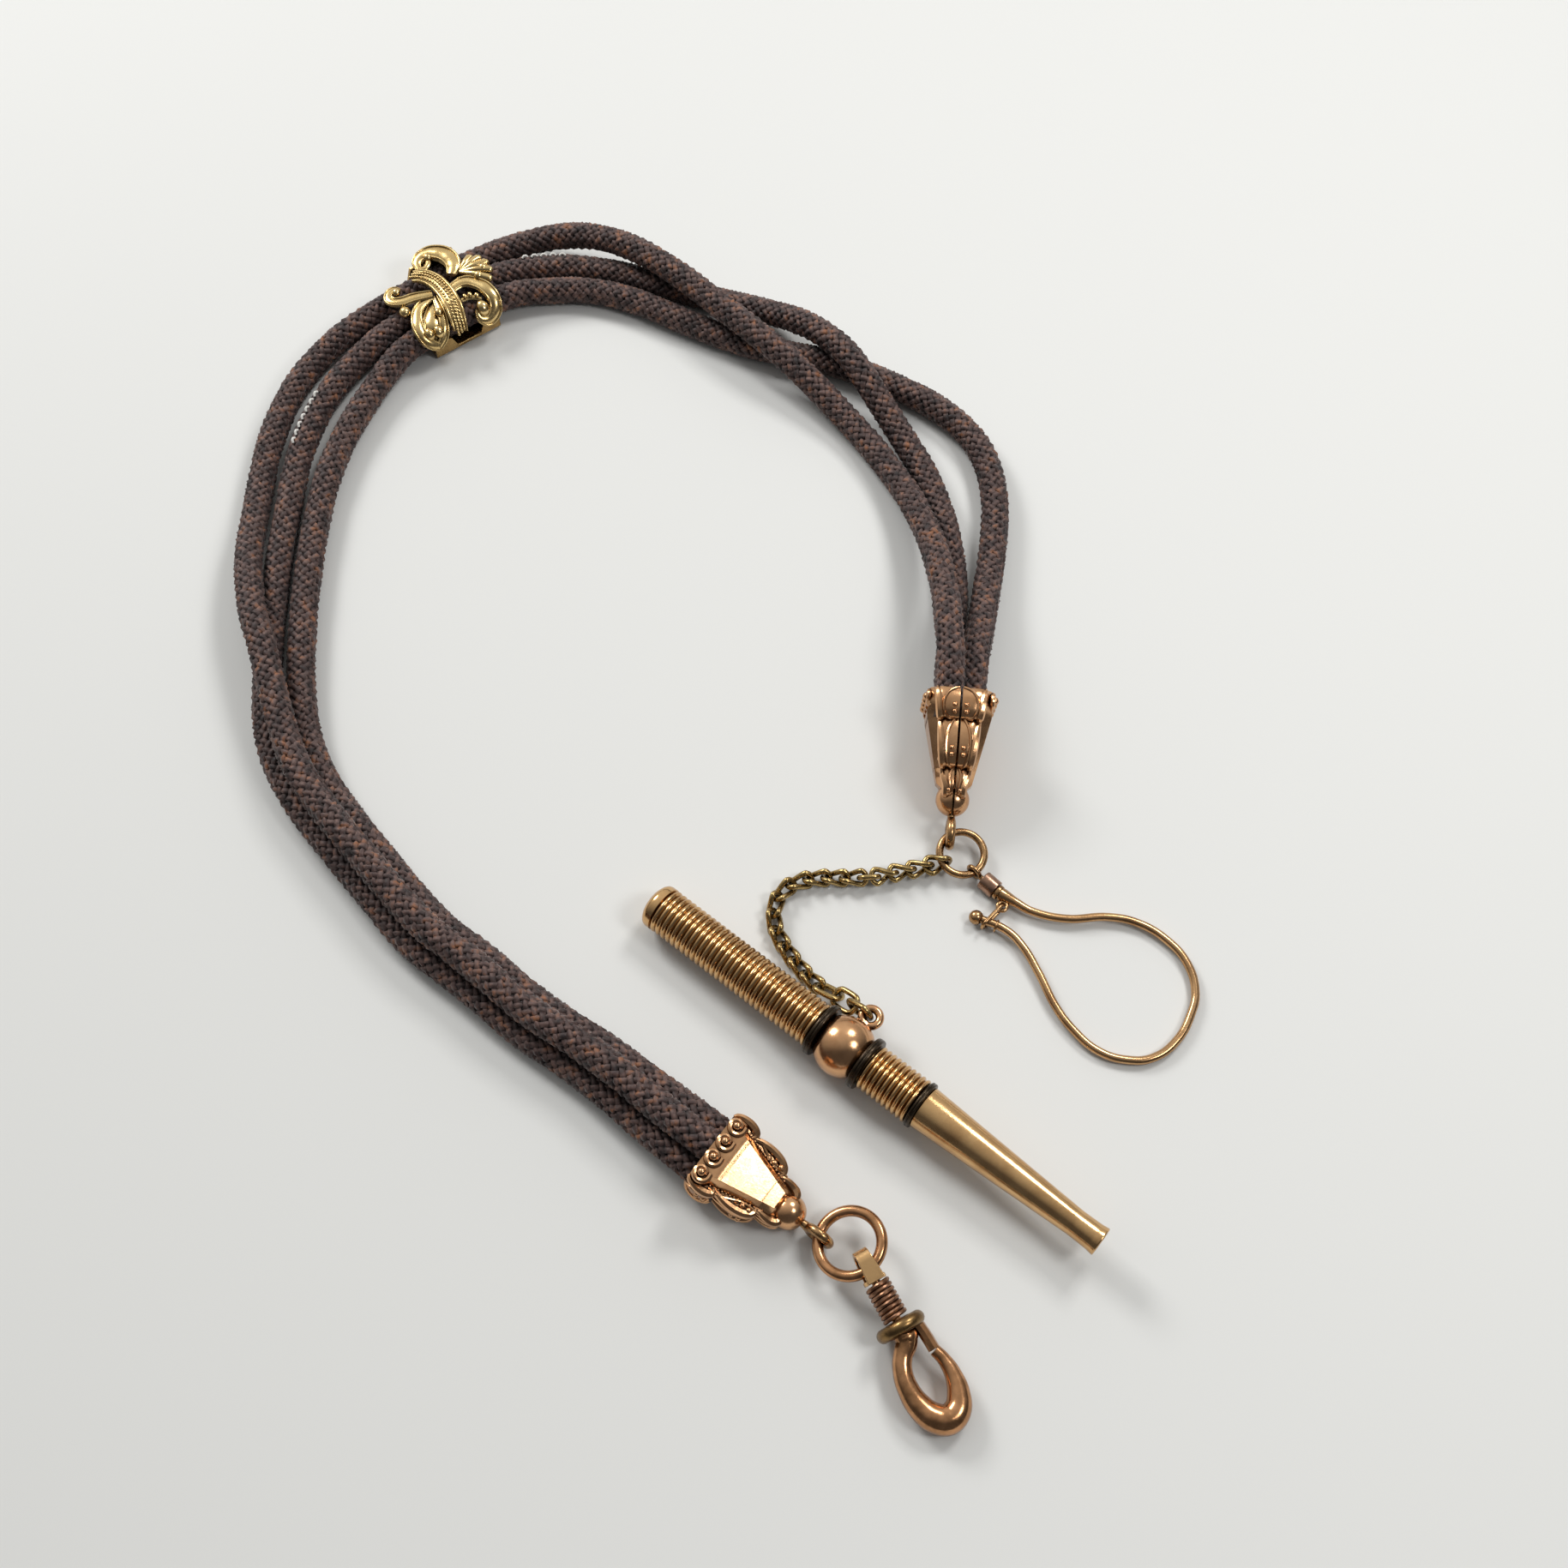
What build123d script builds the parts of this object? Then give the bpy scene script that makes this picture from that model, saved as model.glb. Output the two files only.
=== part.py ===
from build123d import *
from math import acos, asin, cos, degrees, radians, sin, tan
import os

# Three-strand braided watch chain laid on a table: two stamped cord end caps, a scrollwork
# slider, a sprung swivel clasp, and a fine curb chain that carries a watch key bar and a
# wire charm loop. Millimetres, Z up, the table at Z = 0. Headings are degrees on the table,
# counted from +X towards +Y, and a tip is degrees up from the table.

os.makedirs("parts", exist_ok=True)

# Middle of the fittings on the table, the origin of the finished part
rest_x = -3.84
rest_y = 3.32

# Round wire is six-sided in section, cord five-sided and the fine spring wire four-sided. Small
# eyes run in short straight sides, and balls are turned in flat bands
wire_sides = 6
cord_sides = 5
spring_sides = 4
eye_sides = 12
ball_bands = 6
bead_bands = 5
stud_sides = 8
shell_sides = 12
overrun = 2.0
running_clearance = 0.1
seat_clearance = 0.05

# Cords
cord_diameter = 4.0
cord_squeeze_share = 0.975
cord_side_offset = 2.55
cord_rise_offset = 1.5
cord_lead = 3.0

# Cord end caps: the ball is the narrow end, the mouth the wide one
left_cap_x = 0.51
left_cap_y = -57.1
left_cap_height = 2.75
left_cap_heading = -37.0
left_cap_tip = -8.5
left_cap_length = 11.7
left_cap_half_width = 5.1
left_cap_half_depth = 4.0
left_ball_radius = 1.9
right_cap_x = 21.85
right_cap_y = -4.09
right_cap_height = 3.5
right_cap_heading = -95.0
right_cap_tip = -14.5
right_cap_length = 13.9
right_cap_half_width = 5.3
right_cap_half_depth = 4.3
right_ball_radius = 2.2
cap_seam = 0.3
cap_pocket_depth = 2.6
binding_length = 1.2
lobe_shares = (
    ((-1.0, 0.95), (-0.90, 1.03), (-0.71, 0.82)),
    ((-0.71, 0.82), (-0.46, 0.80), (-0.27, 0.50)),
    ((-0.27, 0.50), (-0.17, 0.54), (-0.09, 0.30)),
)
rim_side_shares = ((-1.0, 0.0), (-1.0, 0.72), (-0.80, 0.62), (-0.09, 0.36), (-0.09, 0.0))
panel_shares = ((-1.0, 0.84), (-0.83, 0.84), (-0.79, 0.60), (-0.12, 0.20))
panel_side_shares = ((-1.0, 0.0), (-1.0, 0.94), (-0.83, 0.94), (-0.79, 1.0), (-0.14, 0.50), (-0.12, 0.0))
rim_chamfer = 0.5

# Swivel eye pins of the caps
left_eye_radius = 1.45
left_eye_reach = 4.5
right_eye_radius = 1.6
right_eye_reach = 4.4
eye_wire = 1.2
pin_diameter = 1.0
pin_head_diameter = 1.8
pin_head_length = 0.7

# Slider
slider_x = -51.14
slider_y = 79.28
slider_heading = 35.0
slider_length = 11.0
slider_wall = 0.55
slider_gap = 0.15
slider_cord_spacing = 4.05
slider_lead = 8.0
leaf_thickness = 0.25
leaf_width = 6.0
leaf_length = 8.5
leaf_bow = 0.25
plate_thickness = 1.2
plate_half_length = 6.6
plate_half_width = 6.8
strut_width = 1.4
ribbon_rise = 0.55
stud_radius = 1.0
shell_radius = 1.9
scroll_shares = (
    ((-0.24, 0.66), (0.29, 0.97), (0.71, 0.53)),
    ((0.71, 0.53), (0.55, 0.32), (0.35, 0.47)),
    ((-0.03, 0.12), (-0.55, 0.15), (-0.85, 0.72)),
    ((-0.08, 0.00), (-0.76, -0.24), (-0.76, -0.93)),
    ((-0.08, -0.04), (-0.30, -0.57), (-0.76, -0.93)),
    ((0.09, 0.06), (0.94, -0.18), (0.70, -0.94)),
    ((0.70, -0.94), (0.44, -0.91), (0.44, -0.68)),
)
ribbon_shares = ((-0.33, 0.71), (0.09, 0.00), (-0.15, -0.79))
stud_shares = ((0.35, 0.56), (-0.85, 0.70), (-0.72, 0.14), (-0.50, -0.50), (0.53, -0.63))
fan_shares = ((0.85, 0.18),)

# Clasp
big_ring_radius = 3.825
big_ring_wire = 1.15
big_ring_heading = -16.2
big_ring_tip = 14.4
shackle_angle = -38.5
clasp_heading = -60.8
clasp_tip = -6.4
shackle_hole_radius = 1.0
shackle_top = -1.9
shackle_floor = 1.1
shackle_wall = 0.5
shackle_width = 1.5
stem_diameter = 1.1
stem_head_diameter = 1.8
stem_head_length = 0.35
spring_diameter = 2.85
spring_wire = 0.4
spring_turns = 5
spring_length = 4.7
hub_diameter = 3.2
hub_length = 0.4
collar_diameter = 5.85
collar_thickness = 1.0
gate_width = 1.3
gate_thickness = 1.1
gate_root = 2.0
neck_diameter = 2.4
neck_length = 1.6
hook_half_width = 2.65
hook_half_length = 4.5
hook_wire = 2.0
hook_shares = (
    (148, 0.95), (124, 0.95), (96, 1.05), (66, 1.25), (36, 1.40), (6, 1.45),
    (-24, 1.36), (-54, 1.12), (-82, 0.85), (-108, 0.66), (-126, 0.60),
)

# Small ring
small_ring_radius = 2.9
small_ring_wire = 1.0
small_ring_heading = -59.0
small_ring_tip = -7.4
small_ring_hang = 0.4
chain_angle = -95.0
loop_angle = 1.0

# Chain
link_half_length = 1.575
link_half_width = 0.95
end_link_half_width = 1.15
link_wire = 0.72
link_twist = 90.0
link_clearance = 0.08
joint_half_length = 1.2
joint_half_width = 1.0
oval_half_length = 1.75
oval_half_width = 1.1
oval_wire = 0.75
nose_share = 0.45
shoulder_share = 0.63
lead_share = 0.2
curb_rolls = (135, 127.5, 120, 112.5)
curb_headings = (-165, -168, -168, -168)
curb_tips = (-4, -2, 0, 0)
joint_heading = -176
joint_tip = 0
joint_roll = 67.5
long_curb_headings = (178, 179, -175, -161, -134, -105, -82, -64, -57, -51, -45)
long_curb_tips = (-9, 0, 0, 0, 0, 0, 0, 0, 0, 0, 3)
oval_headings = (-32, -41, -42)
oval_tips = (11, 23, 35)
oval_rolls = (-45, 22.5, 90)

# Watch key bar, set out from the middle of its bead
key_heading = -39.0
key_tip = 1.5
bead_diameter = 7.7
bead_half_length = 2.9
bead_eye_radius = 1.12
bead_eye_wire = 1.05
bead_eye_reach = 5.0
bead_eye_heading = 48.0
key_collar_diameter = 7.1
key_collar_length = 0.9
barrel_diameter = 6.0
barrel_length = 27.0
barrel_dome = 1.3
sleeve_length = 7.4
band_diameter = 4.9
band_length = 0.6
pipe_length = 25.6
pipe_root_diameter = 5.5
pipe_waist_diameter = 3.3
pipe_waist_share = 0.86
pipe_tip_diameter = 3.6
socket_width = 1.9
socket_depth = 6.0
spindle_diameter = 2.0

# Charm loop
loop_heading = -44.0
loop_tip = -1.0
loop_eye_radius = 0.9
loop_eye_wire = 0.6
ferrule_start = 1.5
ferrule_length = 2.2
ferrule_diameter = 2.2
ferrule_wall = 0.35
loop_pin_diameter = 0.7
loop_head_diameter = 1.2
loop_head_length = 0.35
loop_collar_diameter = 2.0
loop_collar_length = 0.6
loop_turn = 5.1
loop_wire = 1.1
loop_neck = 1.9
cone_share = 0.65
tenon_length = 0.8
loop_points = (
    (4.35, 0.59), (8.45, 2.54), (12.64, 6.23), (15.99, 7.88), (20.16, 8.26), (23.75, 7.31),
    (26.71, 4.74), (27.83, 2.05), (28.35, -1.81), (27.33, -5.59), (25.14, -7.77), (21.65, -9.18),
    (17.61, -8.91), (14.3, -7.87), (9.88, -5.5), (6.23, -3.9), (3.6, -3.5), (-0.5, -4.5),
)
washer_place = 2.6
washer_diameter = 2.0
washer_thickness = 0.3
loop_ball_diameter = 1.9
catch_ring_radius = 0.6
catch_ring_place = 1.2
catch_ring_drop = 1.2
catch_wire = 0.5
catch_place = 1.49
catch_half_width = 0.85


# Placing and wire helpers

def aim(point, heading, tip=0, roll=0):
    """A plane at a point: x_dir along the heading, tipped up, then rolled about itself."""
    place = Location(tuple(point)) * Rotation(0, 0, heading) * Rotation(0, -tip, 0)
    return Plane(place * Rotation(roll, 0, 0))


def spot(home, along=0, across=0, up=0, turn=0, roll=0):
    """A plane set out from another in its own directions, then turned and rolled."""
    place = home.location * Location((along, across, up)) * Rotation(0, 0, turn)
    return Plane(place * Rotation(roll, 0, 0))


def reach(home, along=0, across=0, up=0):
    """A point given in a plane's own directions."""
    return home.from_local_coords(Vector(along, across, up))


def on_ring(home, radius, angle):
    """The point of a ring's wire at an angle from the plane's x_dir."""
    return reach(home, radius * cos(radians(angle)), radius * sin(radians(angle)))


def end_view(home, along=0):
    """A plane square to a piece's length: its x is the piece's y, its y the piece's z."""
    return Plane(reach(home, along), x_dir=home.y_dir, z_dir=home.x_dir)


def side_view(home):
    """A plane that shows a piece from the side: x along the piece, y up."""
    return Plane(home.origin, x_dir=home.x_dir, z_dir=-home.y_dir)


def save(piece, label):
    """Labels a finished piece and writes it."""
    piece.part.label = label
    export_step(piece.part, f"parts/{label}.step")


def scaled(shares, length, height):
    """Points of an outline from shares of a length and a height."""
    return [(x * length, y * height) for x, y in shares]


def turned(home, points):
    """A solid turned about the plane's x_dir from a half profile of (along, radius) points."""
    with BuildPart() as piece:
        with BuildSketch(side_view(home)):
            Polygon(*points, align=None)
        revolve(axis=Axis(home.origin, home.x_dir))
    return piece


def tube_points(start, end, outer, inner):
    """The half profile of a plain tube, or of a rod where the inner radius is zero."""
    return ((start, inner), (start, outer), (end, outer), (end, inner))


def wire_ring(home, radius, wire):
    """A closed ring of wire lying in the plane."""
    with BuildPart() as piece:
        with BuildSketch(side_view(home)):
            with Locations((radius, 0)):
                RegularPolygon(wire / 2, side_count=wire_sides)
        revolve(axis=Axis(home.origin, home.z_dir))
    return piece


def wire_eye(home, radius, wire):
    """A small closed eye of wire lying in the plane, in short straight sides."""
    turns = [radians(360 * (side + 0.5) / eye_sides) for side in range(eye_sides)]
    corners = [(radius * cos(turn), radius * sin(turn)) for turn in turns]
    with BuildPart() as piece:
        with BuildLine(home) as path:
            Polyline((corners[0][0], 0), *corners, close=True)
        with BuildSketch(Plane(path.line @ 0, x_dir=home.z_dir, z_dir=home.y_dir)):
            RegularPolygon(wire / 2, side_count=wire_sides)
        sweep(transition=Transition.RIGHT)
    return piece


def ball_points(radius, bands, start=0, end=180):
    """Profile points of a ball between two angles from its far pole, in flat bands."""
    turns = [radians(start + (end - start) * band / bands) for band in range(bands + 1)]
    return [(-radius * cos(turn), radius * sin(turn)) for turn in turns]


def route_radii(points, label=None):
    """The radius at each corner of a route: as large as its two runs allow."""
    spots = [Vector(*point) for point in points]
    runs = [after - before for before, after in zip(spots, spots[1:])]
    radii = []
    for first, second in zip(runs, runs[1:]):
        half_turn = radians(first.get_angle(second)) / 2
        radii.append(0.45 * min(first.length, second.length) / tan(half_turn))
    if label:
        print(label, "least radius", round(min(radii), 1), "longest run", round(max(r.length for r in runs), 1))
    return radii


def wire_along(points, wire, sides, label=None):
    """Wire or cord laid along a route of straight runs joined by arcs."""
    with BuildPart() as piece:
        with BuildLine() as path:
            FilletPolyline(*points, radius=route_radii(points, label))
        with BuildSketch(Plane(path.wire() @ 0, z_dir=path.wire() % 0)) as section:
            RegularPolygon(wire / 2, side_count=sides)
        sweep()
    if label:
        print(label, "volume over section times length",
              round(piece.part.volume / (section.sketch.area * path.wire().length), 4))
    return piece


def bent_link(home, half_length, half_width, wire, twist):
    """A chain link: two bent ends, turned apart by the twist, joined by two side bars."""
    shoulder = half_length - half_width * shoulder_share
    lead = half_width * lead_share
    nose = half_width * nose_share
    rise = half_width * sin(radians(twist / 2))
    spread = half_width * cos(radians(twist / 2))
    with BuildPart() as link:
        for turn in (0, 180):
            bend = spot(home, turn=turn, roll=twist / 2)
            with BuildLine(bend) as path:
                Polyline((shoulder, half_width), (shoulder + lead, half_width), (half_length, nose),
                         (half_length, -nose), (shoulder + lead, -half_width), (shoulder, -half_width))
            with BuildSketch(Plane(path.line @ 0, x_dir=bend.z_dir, z_dir=path.line % 0)):
                RegularPolygon(wire / 2, side_count=wire_sides)
            sweep(transition=Transition.RIGHT)
        for side in (1, -1):
            foot = reach(home, -shoulder, side * spread, -side * rise)
            bar = reach(home, shoulder, side * spread, side * rise) - foot
            level = spot(home, roll=twist / 2)
            with BuildSketch(Plane(foot, x_dir=level.z_dir, z_dir=home.x_dir)):
                RegularPolygon(wire / 2, side_count=wire_sides)
            extrude(amount=bar.length, dir=bar.normalized())
    return link


# Planes of the main pieces
bench = Plane(origin=(-rest_x, -rest_y, 0))
left_cap = aim(reach(bench, left_cap_x, left_cap_y, left_cap_height), left_cap_heading, left_cap_tip)
right_level = aim(reach(bench, right_cap_x, right_cap_y, right_cap_height), right_cap_heading, right_cap_tip)
right_cap = spot(right_level, roll=-90)
cord_height = slider_gap + slider_wall + leaf_thickness + leaf_bow + running_clearance + cord_diameter / 2
slider = aim(reach(bench, slider_x, slider_y, cord_height), slider_heading)


# Cord end caps

def cap_rim(face, length, half_width, half_depth):
    """The scroll-edged flank of one cap half, thinning towards the ball."""
    with BuildPart() as rim:
        with BuildSketch(face):
            with BuildLine():
                for lobe in lobe_shares:
                    ThreePointArc(*scaled(lobe, length, half_width))
                mirror(about=Plane.XZ)
                mouth_corner = scaled(lobe_shares[0], length, half_width)[0]
                ball_corner = scaled(lobe_shares[-1], length, half_width)[-1]
                for x, y in (mouth_corner, ball_corner):
                    Line((x, y), (x, -y))
            make_face()
        extrude(amount=half_depth)
        with BuildSketch(side_view(face)):
            Polygon(*scaled(rim_side_shares, length, half_depth), align=None)
        extrude(amount=half_width + overrun, both=True, mode=Mode.INTERSECT)
    return rim


def cap_panel(face, length, half_width, half_depth):
    """The plain raised panel of one cap half and the collar behind its mouth."""
    with BuildPart() as panel:
        with BuildSketch(face):
            with BuildLine():
                upper = scaled(panel_shares, length, half_width)
                Polyline(*upper, *[(x, -y) for x, y in reversed(upper)], close=True)
            make_face()
        extrude(amount=half_depth + overrun)
        with BuildSketch(side_view(face)):
            Polygon(*scaled(panel_side_shares, length, half_depth), align=None)
        extrude(amount=half_width + overrun, both=True, mode=Mode.INTERSECT)
    return panel


def cord_places(names):
    """Where the three cords stand in a mouth: two behind, side by side, one in front."""
    sides = ((-cord_side_offset, -cord_rise_offset), (0, cord_rise_offset), (cord_side_offset, -cord_rise_offset))
    return dict(zip(names, sides))


def pocket_hull(clearance):
    """The outline round the three cords in a mouth, in the sketch that is open."""
    for place in cord_places(("low", "front", "high")).values():
        with Locations(place):
            Circle(cord_diameter / 2 + clearance)
    make_hull()


def cap_shell(face, home, length, half_width, half_depth, ball_radius):
    """One half of a cap: rim, panel and half the ball, hollowed for the cords and the pin."""
    rim = cap_rim(face, length, half_width, half_depth)
    panel = cap_panel(face, length, half_width, half_depth)
    head_room = pin_head_length + running_clearance * 2
    knob = turned(face, ball_points(ball_radius, ball_bands))
    with BuildPart() as shell:
        add(rim.part)
        add(panel.part)
        add(knob.part)
        with BuildSketch(end_view(home, -length - overrun)):
            pocket_hull(running_clearance)
        extrude(amount=overrun + cap_pocket_depth + binding_length + seat_clearance, mode=Mode.SUBTRACT)
        with BuildSketch(end_view(home, -head_room)):
            Circle(pin_head_diameter / 2 + running_clearance)
        extrude(amount=head_room, mode=Mode.SUBTRACT)
        with BuildSketch(end_view(home, -running_clearance)):
            Circle(pin_diameter / 2 + running_clearance)
        extrude(amount=ball_radius + overrun, mode=Mode.SUBTRACT)
        split(bisect_by=spot(face, up=cap_seam / 2), keep=Keep.TOP)
    return shell


def eye_pin(home, radius, along):
    """A headed pin that turns in the ball, ending in a standing eye."""
    head_end = -running_clearance
    eye = wire_eye(spot(home, along, roll=90), radius, eye_wire)
    with BuildPart() as pin:
        with BuildSketch(end_view(home, head_end - pin_head_length)):
            Circle(pin_head_diameter / 2)
        extrude(amount=pin_head_length)
        with BuildSketch(end_view(home, head_end)):
            Circle(pin_diameter / 2)
        extrude(amount=along - radius - head_end)
        add(eye.part)
    return pin


def build_cap(name, home, level, length, half_width, half_depth, ball_radius, eye_radius, eye_reach):
    """All the pieces of one cord end cap."""
    front = cap_shell(home, home, length, half_width, half_depth, ball_radius)
    save(front, f"{name}_cap_front_shell")
    back = cap_shell(spot(home, roll=180), home, length, half_width, half_depth, ball_radius)
    save(back, f"{name}_cap_back_shell")
    with BuildPart() as binding:
        with BuildSketch(end_view(home, -length + cap_pocket_depth)):
            pocket_hull(running_clearance - seat_clearance)
        extrude(amount=binding_length)
    save(binding, f"{name}_cap_cord_binding")
    save(eye_pin(level, eye_radius, eye_reach), f"{name}_cap_eye_pin")


build_cap("left", left_cap, left_cap, left_cap_length, left_cap_half_width, left_cap_half_depth,
          left_ball_radius, left_eye_radius, left_eye_reach)
build_cap("right", right_cap, right_level, right_cap_length, right_cap_half_width, right_cap_half_depth,
          right_ball_radius, right_eye_radius, right_eye_reach)


# Cords: chosen points on the table, from the left cap to the slider and on to the right cap

outer_left_run = (
    (-15.8, -44.6, 5.9), (-22.8, -38.7, 5.6), (-31.3, -33.4, 5.6), (-38.8, -26.8, 5.6),
    (-45.2, -22.2, 5.6), (-51.1, -15.4, 5.6), (-57.2, -8.4, 5.6), (-62.9, -1.3, 5.6),
    (-66.5, 7.3, 5.7), (-69.4, 16.4, 6.2), (-72.5, 24.5, 5.7), (-74.5, 33.5, 3.8),
    (-74.8, 43, 2.1), (-74.7, 51.1, 2.1), (-73.6, 59, 2.1), (-71.1, 66.2, 2.1), (-66.8, 72.6, 2.3),
)
outer_right_run = (
    (-41.0, 90.5, 2.7), (-35.0, 91.9, 3.4), (-28.9, 90.8, 4.7), (-22.8, 87.4, 5.9),
    (-16, 82.2, 6.1), (-9.5, 75.9, 6.0), (-3.6, 70.3, 6.1), (2.6, 64.8, 4.6), (7.3, 60.0, 2.8),
    (11.6, 54.9, 2.1), (15.6, 48.3, 2.4), (18.6, 41.5, 3.8), (20.7, 33.8, 5.7), (21.8, 25, 8.0),
    (21.9, 16.5, 10.0),
)
middle_left_run = (
    (-17.25, -46.4, 2.5), (-24.1, -40.4, 2.1), (-32.5, -35.0, 2.1), (-40.0, -28.4, 2.1),
    (-46.6, -23.9, 2.1), (-52.6, -16.8, 2.1), (-58.7, -9.8, 2.1), (-64.6, -2.6, 2.1),
    (-68.7, 5.5, 2.1), (-69.9, 14.5, 2.1), (-70.4, 24, 2.1), (-70.6, 33.5, 2.1), (-70.3, 42, 2.1),
    (-70.1, 50.5, 2.1), (-68.4, 59.0, 2.1), (-64.5, 67.3, 2.3),
)
middle_right_run = (
    (-38.3, 86.6, 2.2), (-31.4, 86.9, 2.1), (-23.5, 85.2, 2.1), (-15.8, 82.2, 2.1),
    (-8.6, 79.9, 2.1), (-1.5, 77.2, 2.8), (3.3, 73.7, 4.8), (8.2, 68.4, 6.2), (11.4, 63.7, 5.6),
    (14.8, 58.4, 3.4), (18.0, 53.2, 2.1), (21.0, 46.5, 2.1), (23.0, 38.5, 2.1), (23.8, 29.5, 2.1),
    (22.9, 20.5, 3.1),
)
inner_left_run = (
    (-14.4, -42.7, 2.5), (-21.6, -37.1, 2.1), (-30.1, -31.8, 2.1), (-37.6, -25.2, 2.1),
    (-43.7, -20.9, 2.1), (-49.6, -14.1, 2.1), (-55.6, -7.0, 2.1), (-61.2, 0.4, 2.1),
    (-64.3, 8.4, 2.1), (-65.6, 17, 2.1), (-66.2, 25.6, 2.1), (-66.3, 34, 2.1), (-66.0, 43, 2.1),
    (-64.9, 51, 2.1), (-62.4, 58.9, 2.1), (-58.9, 66.3, 2.3),
)
inner_right_run = (
    (-35.5, 82.2, 2.2), (-28.7, 82.4, 2.1), (-21.5, 79.9, 2.1), (-14.5, 76.0, 2.1),
    (-7, 72.3, 2.1), (0.5, 70.1, 2.1), (7.6, 68.4, 2.1), (15.0, 64.9, 2.1), (22.6, 60.3, 2.1),
    (27.8, 54.5, 2.1), (30.1, 47.0, 2.1), (29.8, 38.5, 2.1), (28.3, 29.7, 2.6), (26.6, 21.0, 5.2),
)


def cord_route(left_run, right_run, left_place, right_place, lane):
    """A whole cord: out of the left cap, through the slider and into the right cap."""
    points = []
    for along in (cap_pocket_depth, -cord_lead):
        points.append(reach(left_cap, along - left_cap_length, *left_place))
    points += [reach(bench, *point) for point in left_run]
    for along in (-slider_lead, slider_lead):
        points.append(reach(slider, along, lane * slider_cord_spacing))
    points += [reach(bench, *point) for point in right_run]
    for along in (-cord_lead, cap_pocket_depth):
        points.append(reach(right_cap, along - right_cap_length, *right_place))
    return [tuple(point) for point in points]


left_places = cord_places(("middle", "outer", "inner"))
right_places = cord_places(("outer", "inner", "middle"))
cord_runs = {
    "outer": (outer_left_run, outer_right_run, 1),
    "middle": (middle_left_run, middle_right_run, 0),
    "inner": (inner_left_run, inner_right_run, -1),
}
for strand, (left_run, right_run, lane) in cord_runs.items():
    route = cord_route(left_run, right_run, left_places[strand], right_places[strand], lane)
    cord = wire_along(route, cord_diameter * cord_squeeze_share, cord_sides, f"cord {strand}")
    save(cord, f"cord_{strand}")


# Slider: a plain back tray, a sprung leaf under the cords and an openwork scroll plate over them

tray_half_width = slider_cord_spacing + cord_diameter / 2 + running_clearance
tray_floor = -cord_diameter / 2 - running_clearance - leaf_bow - leaf_thickness
plate_base = cord_diameter / 2 + running_clearance

with BuildPart() as slider_tray:
    with BuildSketch(end_view(slider)):
        with BuildLine():
            Polyline((-tray_half_width, plate_base), (-tray_half_width, tray_floor),
                     (tray_half_width, tray_floor), (tray_half_width, plate_base))
            offset(amount=slider_wall, side=Side.RIGHT)
        make_face()
    extrude(amount=slider_length / 2, both=True)
save(slider_tray, "slider_tray")

with BuildPart() as slider_leaf:
    with BuildSketch(side_view(spot(slider, up=tray_floor))):
        with BuildLine():
            half = leaf_length / 2
            crown = leaf_bow
            ThreePointArc((-half, 0), (0, crown), (half, 0))
            Line((half, 0), (half, leaf_thickness))
            ThreePointArc((half, leaf_thickness), (0, crown + leaf_thickness), (-half, leaf_thickness))
            Line((-half, leaf_thickness), (-half, 0))
        make_face()
    extrude(amount=leaf_width / 2, both=True)
save(slider_leaf, "slider_spring_leaf")


def curved_strip(shares):
    """A curved strip of the plate in the sketch that is open."""
    with BuildLine(mode=Mode.PRIVATE) as spine:
        ThreePointArc(*scaled(shares, plate_half_length, plate_half_width))
    SlotArc(spine.edge(), strut_width)


def discs(shares, radius, sides):
    """Bosses of the plate in the sketch that is open."""
    with Locations(*scaled(shares, plate_half_length, plate_half_width)):
        RegularPolygon(radius, side_count=sides)


with BuildPart() as slider_plate:
    with BuildSketch(spot(slider, up=plate_base)):
        for scroll in scroll_shares:
            curved_strip(scroll)
        discs(stud_shares, stud_radius, stud_sides)
        discs(fan_shares, shell_radius, shell_sides)
    extrude(amount=plate_thickness)
    with BuildSketch(spot(slider, up=plate_base)):
        curved_strip(ribbon_shares)
    extrude(amount=plate_thickness + ribbon_rise)
save(slider_plate, "slider_scroll_plate")


# Big ring and clasp

left_eye = reach(left_cap, left_eye_reach)
big_ring_line = aim(left_eye, big_ring_heading, big_ring_tip)
big_ring = spot(big_ring_line, big_ring_radius)
save(wire_ring(big_ring, big_ring_radius, big_ring_wire), "clasp_ring")

clasp = aim(on_ring(big_ring, big_ring_radius, shackle_angle), clasp_heading, clasp_tip)
stem_bore = stem_diameter / 2 + running_clearance
floor_end = shackle_floor + shackle_wall
spring_start = floor_end + seat_clearance
hub_start = spring_start + spring_length + seat_clearance
disc_start = hub_start + hub_length
disc_end = disc_start + collar_thickness
neck_start = disc_end + seat_clearance
hook_middle = neck_start + neck_length + hook_half_length

spring_seat = turned(clasp, tube_points(shackle_floor, floor_end, spring_diameter / 2, 0))
with BuildPart() as shackle:
    for grow, width, mode in ((shackle_wall, shackle_width / 2, Mode.ADD), (0, shackle_width, Mode.SUBTRACT)):
        half = shackle_hole_radius + grow
        shoulder = shackle_top + shackle_hole_radius
        with BuildSketch(side_view(clasp)):
            with BuildLine():
                ThreePointArc((shoulder, -half), (shackle_top - grow, 0), (shoulder, half))
                Polyline((shoulder, half), (shackle_floor + grow, half), (shackle_floor + grow, -half),
                         (shoulder, -half))
            make_face()
        extrude(amount=width, both=True, mode=mode)
    add(spring_seat.part)
    with BuildSketch(end_view(clasp, shackle_floor - seat_clearance)):
        Circle(stem_bore)
    extrude(amount=shackle_wall + seat_clearance * 2, mode=Mode.SUBTRACT)
save(shackle, "swivel_shackle")


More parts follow.
